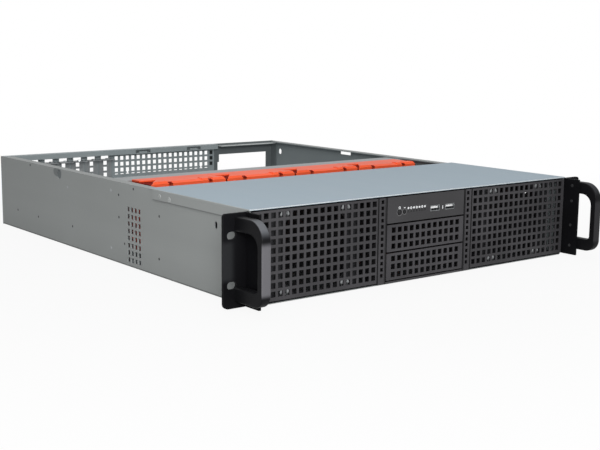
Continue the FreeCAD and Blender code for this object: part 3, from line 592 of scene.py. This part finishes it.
def clear_peg():
    """Smoky plastic of the unlit light guides."""
    finish = Finish("clear_peg", 0.25)
    frost = finish.noise(2500, 1)
    finish.colour(finish.blend(frost, (0.010, 0.010, 0.011), (0.022, 0.022, 0.024)))
    return finish


# ---------------------------------------------------------------- surfaces
def lattice(rows, columns, wrap_rows=False, wrap_columns=False):
    """Corner numbers of the quads of a grid of points, joined round where asked."""
    r, c = np.meshgrid(np.arange(rows - (not wrap_rows)), np.arange(columns - (not wrap_columns)),
                       indexing="ij")
    below, beside = (r + 1) % rows, (c + 1) % columns
    return np.stack([r * columns + c, r * columns + beside, below * columns + beside,
                     below * columns + c], -1).reshape(-1, 4)


def rings_joined(points):
    """A grid of points as one list of points and faces, each row of it a closed ring."""
    return points.reshape(-1, 3), lattice(*points.shape[:2], wrap_columns=True)


def capped(points):
    """A grid of rings with one more at each end, shrunk to the middle of its neighbour."""
    first, last = (np.repeat(points[k].mean(0)[None], points.shape[1], 0)[None] for k in (0, -1))
    return np.concatenate([first, points, last])


def superellipse(count, power):
    """Cosines and sines of count angles round a circle, with their sizes raised to 2 / power."""
    angle = 2 * math.pi * np.arange(count) / count
    return [np.sign(part) * np.abs(part) ** (2 / power) for part in (np.cos(angle), np.sin(angle))]


def revolve(profile, segments=32, reach=None):
    """Turns a profile of (radius, height) pairs round the local Z axis.

    Point (i, k) is (r_i w(a_k) cos a_k, r_i w(a_k) sin a_k, h_i), with a_k = 2 pi k / segments and
    w an optional out-of-round factor given by reach(angle).
    """
    profile = np.asarray(profile, float)
    angle = 2 * math.pi * np.arange(segments) / segments
    factor = np.ones(segments) if reach is None else reach(angle)
    radius = profile[:, :1] * factor
    height = np.broadcast_to(profile[:, 1:], radius.shape)
    points = np.stack([radius * np.cos(angle), radius * np.sin(angle), height], -1)
    return rings_joined(points)


def six_sided(angle):
    """Out-of-round factor of a hexagon over half its width, its corners cut off at 1.14."""
    return np.minimum(1 / np.cos((angle % (math.pi / 3)) - math.pi / 6), 1.14)


def aimed(shape, place, axis, turn=0.0):
    """A shape whose local Z axis points along axis, turned about it and moved to a place."""
    points, faces = shape
    axis = np.asarray(axis, float)
    side = UP if abs(axis[2]) < 0.5 else RIGHT
    first = np.cross(side, axis)
    first = first / np.linalg.norm(first)
    second = np.cross(axis, first)
    cos, sin = math.cos(turn), math.sin(turn)
    basis = np.stack([first * cos + second * sin, second * cos - first * sin, axis])
    return points @ basis + np.asarray(place), faces


def bar_along_x(start, end, centre, half_y, half_z, power):
    """A straight bar along X with a rounded section.

    Its section is the superellipse (half_y c(a), half_z s(a)), where c and s are the cosine and
    sine with their sizes raised to 2 / power, and each end closes on the bar's middle line.
    """
    c, s = superellipse(24, power)
    size = np.array([0.0, 1.0, 1.0, 0.0])[:, None]
    along = np.array([start, start, end, end])[:, None] + 0 * c
    return rings_joined(np.stack([along, centre[0] + half_y * size * c,
                                  centre[1] + half_z * size * s], -1))


def together(shapes):
    """Several shapes as one list of points and faces."""
    points = np.concatenate([shape[0] for shape in shapes])
    starts = np.cumsum([0] + [len(shape[0]) for shape in shapes[:-1]])
    faces = np.concatenate([shape[1] + start for shape, start in zip(shapes, starts)])
    return points, faces


def piece(name, shape, finish, body="case", nodes=(), sharp=40):
    """Makes a mesh object of a shape, closes its seams and poles and lets it ride a body."""
    points, faces = shape
    mesh = bpy.data.meshes.new(name)
    mesh.from_pydata(points.tolist(), [], faces.tolist())
    work = bmesh.new()
    work.from_mesh(mesh)
    bmesh.ops.remove_doubles(work, verts=work.verts, dist=1e-7)
    bmesh.ops.dissolve_degenerate(work, edges=work.edges, dist=1e-7)
    bmesh.ops.recalc_face_normals(work, faces=work.faces)
    work.to_mesh(mesh)
    work.free()
    mesh.polygons.foreach_set("use_smooth", np.ones(len(mesh.polygons), bool))
    mesh.set_sharp_from_angle(angle=math.radians(sharp))
    mesh.materials.append(finish.material)
    made = bpy.data.objects.new(name, mesh)
    bpy.context.scene.collection.objects.link(made)
    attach(made, body)
    if nodes:
        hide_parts(*nodes)
    return made


def dress(finish, *nodes):
    """Gives CAD nodes a finish."""
    for name in nodes:
        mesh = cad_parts[name].data
        mesh.materials.clear()
        mesh.materials.append(finish.material)


def soften(names, width, segments):
    """Rounds the edges of CAD nodes: a Weld joins their triangles and a Bevel takes the corners."""
    for name in names:
        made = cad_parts[name]
        weld = made.modifiers.new("weld", "WELD")
        weld.merge_threshold = 1e-6
        bevel = made.modifiers.new("rounded_edges", "BEVEL")
        bevel.width = width
        bevel.segments = segments
        bevel.limit_method = "ANGLE"
        bevel.angle_limit = math.radians(35)
        bevel.use_clamp_overlap = True


def nodes_like(prefix):
    """CAD nodes whose names start with a prefix, in order."""
    names = sorted(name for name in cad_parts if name.startswith(prefix))
    if not names:
        raise RuntimeError("no node named " + prefix)
    return names


def pan_head(radius, rise):
    """Domed head with a cross recess.

    At share t of the radius R the height over the base is rise (0.35 + 0.65 (1 - t^4) - 0.75 w).
    The recess w is 1 within 0.10 R of either axis and inside 0.54 R, and falls to 0 over the next
    0.06 R sideways and 0.08 R outwards. A straight rim and a flat base close the head.
    """
    rings, segments = 14, 48
    share = np.linspace(0, 1, rings)[:, None]
    angle = 2 * math.pi * np.arange(segments) / segments
    x, y = share * np.cos(angle), share * np.sin(angle)
    dome = 0.35 + 0.65 * (1 - share ** 4)
    off_axis = np.minimum(np.abs(x), np.abs(y))
    recess = np.clip((0.16 - off_axis) / 0.06, 0, 1) * np.clip((0.62 - share) / 0.08, 0, 1)
    points = np.stack([radius * x, radius * y, rise * (dome - 0.75 * recess)], -1)
    rim = points[-1] * (1, 1, 0)
    return rings_joined(np.concatenate([points, rim[None], 0 * rim[None]]))


# ---------------------------------------------------------------- operators
class CASE_OT_sheet_metal(bpy.types.Operator):
    """Paint and zinc on the tray, rear panel, lid, cages and bracket"""
    bl_idname = "case.sheet_metal"
    bl_label = "Sheet Metal"

    def execute(self, context):
        colours = context.scene.case_finish
        dress(tray_steel(colours.outside, colours.inside), "chassis_tray")
        rear = rear_steel(tinted(colours.inside, 1.25), colours.outside)
        dress(rear, "rear_panel")
        outer_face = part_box("rear_panel")[1][1]
        hem = bar_along_x(IO_WINDOW[0] - 1 * MM, IO_WINDOW[1] + 1 * MM,
                          (outer_face - 1.2 * MM, IO_WINDOW[2] - 0.8 * MM),
                          half_y=1.1 * MM, half_z=1.6 * MM, power=4)
        piece("board_window_hem", hem, rear)
        dress(lid_paint(colours.lid, colours.outside), "front_cover")
        dress(spangled_zinc("cover_zinc", tinted(colours.zinc, 0.80), 0.4),
              *(name for name in nodes_like("slot_cover_") if name != "slot_cover_screws"))
        dress(dark_coat("cage_coat", (0.030, 0.030, 0.033), 0.4), "bay_cage",
              "drive_cage_left", "drive_cage_right")
        dress(spangled_zinc("bracket_zinc", tinted(colours.zinc, 0.66), 0.35, 0.45), "fan_bracket")
        return {"FINISHED"}


class CASE_OT_front(bpy.types.Operator):
    """Charcoal coat on the grilles, uprights and bay covers, and the printed control panel"""
    bl_idname = "case.front"
    bl_label = "Perforated Front"

    def execute(self, context):
        colours = context.scene.case_finish
        dress(front_coat(colours.front), "grille_left", "grille_right", "centre_frame",
              "bay_cover_lower", "bay_cover_upper")
        dress(control_plastic(tinted(colours.front, 0.62)), "control_panel")
        dress(ear_coat(colours.ears), "ear_left", "ear_right")
        soften(("ear_left", "ear_right"), width=0.4 * MM, segments=2)
        return {"FINISHED"}


def handle_surface(low, high, power):
    """Handle as a rounded section carried along the D.

    Two curves with matching parameter t, the outer edge O(t) and the inner edge I(t), each made of
    a leg, a quarter turn, the grip, a quarter turn and a leg. The point at (t, a) is the middle of
    O and I, plus half their difference times c(a), plus half the width times s(a) along X, where
    (c, s) runs round a superellipse of the given power.
    """
    def edge(front, bottom, top, low_radius, high_radius):
        quarter = np.linspace(0, math.pi / 2, 20)[:, None]
        leg = np.linspace(0, 1, 10)[:, None]
        back = high[1]
        down, up, ahead = np.array([0, -1.0]), np.array([0, 1.0]), np.array([-1.0, 0])
        top_centre = np.array([front + high_radius, top - high_radius])
        low_centre = np.array([front + low_radius, bottom + low_radius])
        top_leg = np.array([back, top]) * (1 - leg) + (top_centre + high_radius * up) * leg
        top_turn = top_centre + high_radius * (up * np.cos(quarter) + ahead * np.sin(quarter))
        grip = ((top_centre + high_radius * ahead) * (1 - leg)
                + (low_centre + low_radius * ahead) * leg)
        low_turn = low_centre + low_radius * (ahead * np.cos(quarter) + down * np.sin(quarter))
        low_leg = (low_centre + low_radius * down) * (1 - leg) + np.array([back, bottom]) * leg
        return np.concatenate([top_leg, top_turn[1:-1], grip, low_turn[1:-1], low_leg])

    grip_depth, leg_height = 7.5 * MM, 12.8 * MM
    outer = edge(low[1], low[2], high[2], 12 * MM, 19 * MM)
    inner = edge(low[1] + grip_depth, low[2] + leg_height, high[2] - leg_height, 4.5 * MM, 12 * MM)
    c, s = superellipse(40, power)
    spine, half = (outer + inner) / 2, (outer - inner) / 2
    plane = spine[:, None] + half[:, None] * c[:, None]
    across = (low[0] + high[0]) / 2 + (high[0] - low[0]) / 2 * s + 0 * plane[..., 0]
    return rings_joined(capped(np.stack([across, plane[..., 0], plane[..., 1]], -1)))


class CASE_OT_handles(bpy.types.Operator):
    """Two D-shaped handles with a rounded section"""
    bl_idname = "case.handles"
    bl_label = "Handles"

    def execute(self, context):
        plastic = grip_plastic(context.scene.case_finish.grips)
        for side in ("left", "right"):
            shape = handle_surface(*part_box("handle_" + side), context.scene.case_shape.grip_round)
            piece("grip_" + side, shape, plastic, nodes=["handle_" + side])
        return {"FINISHED"}


class CASE_OT_screws(bpy.types.Operator):
    """Cross-head screws on the lid, the ears, the handles and the ears' walls"""
    bl_idname = "case.screws"
    bl_label = "Cross-Head Screws"

    def execute(self, context):
        colours = context.scene.case_finish
        zinc = spangled_zinc("screw_zinc", colours.zinc, 0.9, 0.3)
        black = dark_coat("black_screw", (0.03, 0.03, 0.032), 0.35, 2500, 0.01 * MM)
        painted = rolled_paint("screw_paint", tinted(colours.outside, 1.12), 0.02, 0.5)
        rise = context.scene.case_shape.screw_round
        radius = 2.8 * MM
        head, small = pan_head(radius, rise), pan_head(1.7 * MM, 0.6 * rise)
        # Each head is turned by an angle that follows its place, so that no two match.
        low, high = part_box("cover_screws")
        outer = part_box("front_cover")[1][0]
        places = ((high[1] - radius, high[2] - radius), (low[1] + radius, low[2] + radius))
        lid = [aimed(head, (side * outer, y, z), (side, 0, 0), 400 * y)
               for side in (-1, 1) for y, z in places]
        piece("lid_screws", together(lid), painted, nodes=["cover_screws"])
        low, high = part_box("ear_screws")
        face, centre_y = high[0] - 0.8 * MM, middle("ear_screws")[1]
        ear = [aimed(head, (side * face, centre_y, z), (side, 0, 0), 900 * z)
               for side in (-1, 1) for z in np.linspace(low[2] + 2.6 * MM, high[2] - 2.6 * MM, 3)]
        piece("ear_heads", together(ear), black, nodes=["ear_screws"])
        low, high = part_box("handle_screws")
        back = [aimed(head, (side * (high[0] - radius), low[1], z), REAR, 900 * z)
                for side in (-1, 1) for z in (low[2] + radius, high[2] - radius)]
        piece("handle_heads", together(back), zinc, nodes=["handle_screws"])
        inner_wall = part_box("ear_right")[0][0] + 1.5 * MM
        wall = [aimed(small, (side * inner_wall, FRONT - 9 * MM, z * MM), (-side, 0, 0), z)
                for side in (-1, 1) for z in (12, 35, 62, 79)]
        piece("ear_wall_screws", together(wall), black)
        return {"FINISHED"}


class CASE_OT_hexagons(bpy.types.Operator):
    """Hexagonal heads on the slot covers, nuts behind the grilles and brass board pillars"""
    bl_idname = "case.hexagons"
    bl_label = "Hexagonal Fasteners"

    def execute(self, context):
        zinc = spangled_zinc("nut_zinc", context.scene.case_finish.zinc, 0.9, 0.3)
        low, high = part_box("slot_cover_screws")
        tall, half = high[2] - low[2], (high[1] - low[1]) / 2
        profile = [(0, 0), (half, 0), (half, 0.72 * tall), (0.86 * half, tall),
                   (0.55 * half, tall), (0.45 * half, 0.6 * tall), (0, 0.6 * tall)]
        head = revolve(profile, 48, six_sided)
        places = np.linspace(low[0] + 2.9 * MM, high[0] - 2.9 * MM, 7)
        heads = [aimed(head, (x, low[1] + half, low[2]), UP, 0.3 * k)
                 for k, x in enumerate(places)]
        piece("slot_heads", together(heads), zinc, nodes=["slot_cover_screws"])
        low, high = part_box("front_fan_nuts")
        flats, tall = 2.75 * MM, high[1] - low[1]
        profile = [(0.55 * flats, 0), (flats, 0), (flats, 0.6 * tall), (1.75 * flats, 0.7 * tall),
                   (1.75 * flats, tall), (0.6 * flats, tall), (0.52 * flats, 0.8 * tall),
                   (0.52 * flats, 0.2 * tall), (0.55 * flats, 0)]
        nut = revolve(profile, 48, six_sided)
        centre_x, centre_z = middle("drive_cage_right")[0], middle("front_fan_nuts")[2]
        reach = high[0] - 3.175 * MM - centre_x
        rise = high[2] - flats - centre_z
        nuts = [aimed(nut, (side * (centre_x + i * reach), high[1], centre_z + j * rise), -REAR)
                for side in (-1, 1) for i in (-1, 1) for j in (-1, 1)]
        piece("grille_nuts", together(nuts), zinc, nodes=["front_fan_nuts"])
        dress(turned_brass(), "standoffs")
        return {"FINISHED"}


class CASE_OT_wall_marks(bpy.types.Operator):
    """Rivet heads, and dark discs of painted shade at small dimples on the outer side walls"""
    bl_idname = "case.wall_marks"
    bl_label = "Rivets and Dimples"

    def execute(self, context):
        bright = spangled_zinc("rivet_zinc", tinted(context.scene.case_finish.zinc, 0.8), 0.6, 0.4)
        # Painted shade: dark discs stand for the small dimples.
        shade = dark_coat("dimple_shade", (0.045, 0.047, 0.049), 0.5)
        dome = MM * np.array(((0, 0.6), (0.9, 0.52), (1.6, 0.3), (2.0, 0), (0, 0)))
        spot = MM * np.array(((0, 0.06), (1.0, 0.05), (1.4, 0), (0, 0)))
        # Places on the wall: millimetres behind the front's face, and height.
        rivets = ((256.5, 76.3), (258.5, 14.1), (360.4, 67.9))
        dimples = ((460.7, 84.0), (501.4, 24.2), (441.5, 23.5), (350.0, 24.5), (239.9, 73.4),
                   (208.3, 83.0), (240.0, 49.8), (228.6, 23.0), (157.0, 61.5), (158.1, 18.3))
        for name, shape, places, finish in (
                ("wall_rivets", revolve(dome, 24), rivets, bright),
                ("wall_dimple_shade", revolve(spot, 16), dimples, shade)):
            copies = [aimed(shape, (side * TRAY_HIGH[0], FRONT + y * MM, z * MM), (side, 0, 0))
                      for side in (-1, 1) for y, z in places]
            piece(name, together(copies), finish)
        return {"FINISHED"}


class CASE_OT_controls(bpy.types.Operator):
    """Buttons with dished faces, domed light pegs and the two ports"""
    bl_idname = "case.controls"
    bl_label = "Controls"

    def execute(self, context):
        colours = context.scene.case_finish
        dish = context.scene.case_shape.button_dish
        plastic = moulded_plastic("button_plastic", (0.012, 0.012, 0.013), 0.3, 2600, 0.01 * MM)
        for name in BUTTONS:
            low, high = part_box(name)
            collar, length = (high[0] - low[0]) / 2, high[1] - low[1]
            plunger = collar - 1.0 * MM
            flat, corner = 0.86 * plunger, 0.14 * plunger
            face = [(flat * share, length - dish * (1 - share * share))
                    for share in np.linspace(0, 1, 8)]
            turn = [(flat + corner * math.sin(a), length - corner * (1 - math.cos(a)))
                    for a in np.linspace(0.2, math.pi / 2, 6)]
            rest = [(plunger, 2.0 * MM), (collar, 2.0 * MM), (collar, 1.0 * MM),
                    (plunger, 1.0 * MM), (plunger, 0), (0, 0)]
            shape = aimed(revolve(face + turn + rest, 40),
                          (middle(name)[0], high[1], middle(name)[2]), -REAR)
            piece(name + "_cap", shape, plastic, body=name, nodes=[name])
        low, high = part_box("light_guides")
        half, length = (high[2] - low[2]) / 2, high[1] - low[1]
        peg = revolve([(0, length), (0.55 * half, length - 0.03 * MM),
                       (0.9 * half, length - 0.15 * MM), (half, length - 0.3 * MM),
                       (half, 0), (0, 0)], 20)
        pegs = [aimed(peg, (x, high[1], low[2] + half), -REAR)
                for x in np.linspace(low[0] + half, high[0] - half, 7)]
        piece("light_pegs", together(pegs), clear_peg(), nodes=["light_guides"])
        dress(spangled_zinc("port_metal", tinted(colours.zinc, 0.8), 0.95, 0.25),
              "usb_shell_left", "usb_shell_right")
        dress(moulded_plastic("port_plastic", (0.88, 0.88, 0.88), 0.4), "usb_tongue_left",
              "usb_tongue_right")
        dress(board_laminate(), "control_board")
        return {"FINISHED"}


def pad_surface(lefts, right, front, rear, base, rise):
    """A low pad with soft edges on a carrier's grip lip.

    For s across and t from front to rear, x goes from the left edge, which moves from lefts[0] to
    lefts[1] as t goes to 1, to the right edge, and y from front to rear. The height over its sunk
    underside is the rise plus the sink, times E(s) E(t), where E is a smooth step up from one
    edge and down to the other.
    """
    def edge(share, first, last):
        step = np.clip(np.minimum(share / first, (1 - share) / last), 0, 1)
        return step * step * (3 - 2 * step)

    sink = 1.6 * MM
    s = np.linspace(0, 1, 25)[None, :]
    t = np.linspace(0, 1, 21)[:, None]
    left = lefts[0] + (lefts[1] - lefts[0]) * t
    x = left + (right - left) * s
    y = front + (rear - front) * t + 0 * s
    height = (rise + sink) * edge(s, 0.06, 0.06) * edge(t, 0.16, 0.30)
    upper = np.stack([x, y, base - sink + height], -1)
    under = np.stack([x, y, base - sink + 0 * height], -1)[::-1]
    points = np.concatenate([upper, under])
    return points.reshape(-1, 3), lattice(len(points), points.shape[1], wrap_rows=True)


def blade_surface(root, tip, chord, thickness, pitch, twist, count):
    """Fan blades as closed cambered sheets.

    For angle u round the section and v from root to tip, a point lies at chord s (1 - 0.12 v)
    along the chord, with s = cos(u) / 2, and off it by thickness sin(u) / 2 plus the camber,
    0.12 chord (1/4 - s^2). The section is turned about the radius by pitch + twist (1 - v), and
    the blade leans round by v^2 / 8 of a seventh of a turn.
    """
    u = 2 * math.pi * np.arange(24) / 24
    v = np.linspace(0, 1, 9)[:, None]
    s = np.cos(u) / 2
    along = chord * s * (1 - 0.12 * v)
    off = thickness * np.sin(u) / 2 + 0.12 * chord * (0.25 - s * s)
    angle = pitch + twist * (1 - v)
    axial = along * np.cos(angle) - off * np.sin(angle)
    around = along * np.sin(angle) + off * np.cos(angle)
    radius = root + (tip - root) * v + 0 * u
    lean = v * v / 8 * 2 * math.pi / 7 + around / radius
    turns = [lean + 2 * math.pi * k / count for k in range(count)]
    return together([rings_joined(capped(np.stack(
        [radius * np.cos(turn), radius * np.sin(turn), axial], -1))) for turn in turns])


class CASE_OT_fans(bpy.types.Operator):
    """Orange carriers, fan housings and rotors with cambered blades"""
    bl_idname = "case.fans"
    bl_label = "Fans"

    def execute(self, context):
        orange = carrier_plastic(context.scene.case_finish.carriers)
        dress(orange, *nodes_like("fan_frame_"))
        soften(nodes_like("fan_frame_"), width=0.9 * MM, segments=3)
        pads = []
        for name in nodes_like("fan_frame_"):
            (left, front, _), (right, _, top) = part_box(name)
            # The pad's left edge at its front and rear, its right edge, and its depth.
            for at_front, at_rear, pad_right, depth in (
                    (2.0 * MM, 9.0 * MM, left + 21.9 * MM, 10 * MM),
                    (64.0 * MM, 64.0 * MM, left + 71.9 * MM, 14 * MM),
                    (77.3 * MM, 77.3 * MM, right - 1.0 * MM, 14 * MM)):
                pads.append(pad_surface((left + at_front, left + at_rear), pad_right,
                                        front, front + depth, top, 0.9 * MM))
        piece("carrier_pads", together(pads), orange)
        dress(moulded_plastic("housing_plastic", (0.018, 0.018, 0.019), 0.4),
              *nodes_like("fan_housing_"))
        black = moulded_plastic("rotor_plastic", (0.024, 0.024, 0.026), 0.34)
        for name in nodes_like("fan_rotor_"):
            low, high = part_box(name)
            housing = middle(name.replace("rotor", "housing"))
            depth = high[1] - low[1]
            hub, axle = 17 * MM, 1.5 * MM
            wheel = revolve([(0, depth), (hub - 4 * MM, depth), (hub - 1 * MM, depth - 0.4 * MM),
                             (hub, depth - 1.4 * MM), (hub, 2.2 * MM), (axle, 2.2 * MM),
                             (axle, 0), (0, 0)], 64)
            blades, faces = blade_surface(
                root=hub - 0.8 * MM, tip=34.8 * MM, chord=20.5 * MM, thickness=1.2 * MM,
                pitch=math.radians(38), twist=context.scene.case_shape.blade_twist, count=7)
            blades = (blades + 0.55 * depth * UP, faces)
            shape = aimed(together([wheel, blades]), (housing[0], high[1], housing[2]), -REAR)
            piece(name + "_wheel", shape, black, body=name, nodes=[name])
        return {"FINISHED"}


class CASE_OT_stage(bpy.types.Operator):
    """Pale floor, soft studio light and the camera"""
    bl_idname = "case.stage"
    bl_label = "Studio"

    def execute(self, context):
        settings = context.scene.case_stage
        self.floor()
        self.surroundings(context.scene, settings.level)
        self.lamps()
        self.camera(context.scene, settings)
        context.scene.view_settings.view_transform = "Standard"
        return {"FINISHED"}

    def floor(self):
        """A wide square just under the case: it takes the shadow near the case, and further off
        it fades to plain white where the camera sees it."""
        reach, drop = 40.0, 0.4 * MM
        corners = [(x, y, -drop) for x, y in ((-reach, -reach), (reach, -reach),
                                              (reach, reach), (-reach, reach))]
        mesh = bpy.data.meshes.new("floor")
        mesh.from_pydata(corners, [], [(0, 1, 2, 3)])
        finish = Finish("floor_white", 0.9, 0.0, 0.1)
        finish.colour((0.45, 0.45, 0.45))
        x, y, _ = finish.axes()
        away = ((x * x + y * y) ** 0.5).smooth(0.25, 0.95)
        path = finish.node("ShaderNodeLightPath")
        seen = Value(finish.tree, path.outputs["Is Camera Ray"]).larger(
            Value(finish.tree, path.outputs["Is Glossy Ray"]) * 0.5)
        glow = finish.node("ShaderNodeEmission", None, {"Color": (1, 1, 1)})
        finish.surface(finish.node("ShaderNodeMixShader", None, {
            "Fac": (0.92 + away * 0.08) * seen, 1: finish.shader.outputs[0], 2: glow.outputs[0]}))
        mesh.materials.append(finish.material)
        made = bpy.data.objects.new("floor", mesh)
        bpy.context.scene.collection.objects.link(made)

    def surroundings(self, scene, level):
        """White where it is seen or looked through, half as strong where it is mirrored, and an
        even level elsewhere."""
        world = bpy.data.worlds.new("studio")
        scene.world = world
        world.use_nodes = True
        tree = world.node_tree
        tree.nodes.clear()
        path = add_node(tree, "ShaderNodeLightPath")
        seen = Value(tree, path.outputs["Is Camera Ray"]).larger(
            Value(tree, path.outputs["Is Glossy Ray"]) * 0.5).larger(
            Value(tree, path.outputs["Is Transmission Ray"]))
        light = add_node(tree, "ShaderNodeBackground", None,
                         {"Color": (0.94, 0.97, 1), "Strength": level})
        shown = add_node(tree, "ShaderNodeBackground", None, {"Color": (1, 1, 1)})
        mix = add_node(tree, "ShaderNodeMixShader", None,
                       {"Fac": seen, 1: light.outputs[0], 2: shown.outputs[0]})
        add_node(tree, "ShaderNodeOutputWorld", None, {"Surface": mix.outputs[0]})

    def lamps(self):
        """Three soft panels: a large one above, one at the front and a small one at the left."""
        for name, place, aim, size, power in (
                ("above", (0.1, 0.0, 2.2), (0, 0, 0), 2.0, 26),
                ("front", (-0.62, -1.28, 0.6), (-0.1, -0.2, 0.04), 0.7, 8),
                ("left", (-0.80, -1.06, 0.42), (-0.2, -0.25, 0.04), 0.5, 5.4)):
            lamp = bpy.data.lights.new(name, "AREA")
            lamp.shape = "SQUARE"
            lamp.size = size
            lamp.energy = power
            made = bpy.data.objects.new(name, lamp)
            direction = mathutils.Vector(aim) - mathutils.Vector(place)
            made.location = place
            made.rotation_euler = direction.to_track_quat("-Z", "Y").to_euler()
            made.visible_camera = False
            bpy.context.scene.collection.objects.link(made)

    def camera(self, scene, settings):
        """Camera at its own place, looking along the azimuth and elevation, rolled a little."""
        lens = bpy.data.cameras.new("camera")
        lens.sensor_width = 36
        lens.lens = settings.lens
        lens.clip_end = 50
        made = bpy.data.objects.new("camera", lens)
        a, e = settings.azimuth, settings.elevation
        back = (math.sin(a) * math.cos(e), -math.cos(a) * math.cos(e), math.sin(e))
        level = mathutils.Vector(back).to_track_quat("Z", "Y").to_matrix()
        made.matrix_world = (mathutils.Matrix.Translation(settings.place)
                             @ (level @ mathutils.Matrix.Rotation(settings.roll, 3, "Z")).to_4x4())
        scene.collection.objects.link(made)
        scene.camera = made


class CASE_PT_panel(bpy.types.Panel):
    """Lists the steps that dress the case"""
    bl_idname = "CASE_PT_panel"
    bl_label = "Case"
    bl_space_type = "VIEW_3D"
    bl_region_type = "UI"
    bl_category = "Case"

    def draw(self, context):
        for step in STEPS:
            self.layout.operator(step.bl_idname)
        for group in (context.scene.case_finish, context.scene.case_shape,
                      context.scene.case_stage):
            box = self.layout.box()
            for key in group.__annotations__:
                box.prop(group, key)


SETTINGS = {"case_finish": CaseFinishSettings, "case_shape": CaseShapeSettings,
            "case_stage": CaseStageSettings}
STEPS = (CASE_OT_sheet_metal, CASE_OT_front, CASE_OT_handles, CASE_OT_screws, CASE_OT_hexagons,
         CASE_OT_wall_marks, CASE_OT_controls, CASE_OT_fans, CASE_OT_stage)


def register():
    """Adds the settings, operators and panel."""
    for group in SETTINGS.values():
        bpy.utils.register_class(group)
    for step in STEPS:
        bpy.utils.register_class(step)
    bpy.utils.register_class(CASE_PT_panel)
    for key, group in SETTINGS.items():
        setattr(bpy.types.Scene, key, bpy.props.PointerProperty(type=group))


def unregister():
    """Takes them out again."""
    for key in SETTINGS:
        delattr(bpy.types.Scene, key)
    bpy.utils.unregister_class(CASE_PT_panel)
    for step in reversed(STEPS):
        bpy.utils.unregister_class(step)
    for group in reversed(list(SETTINGS.values())):
        bpy.utils.unregister_class(group)


def main():
    register()
    for step in STEPS:
        family, name = step.bl_idname.split(".")
        getattr(getattr(bpy.ops, family), name)()


if __name__ == "__main__":
    main()
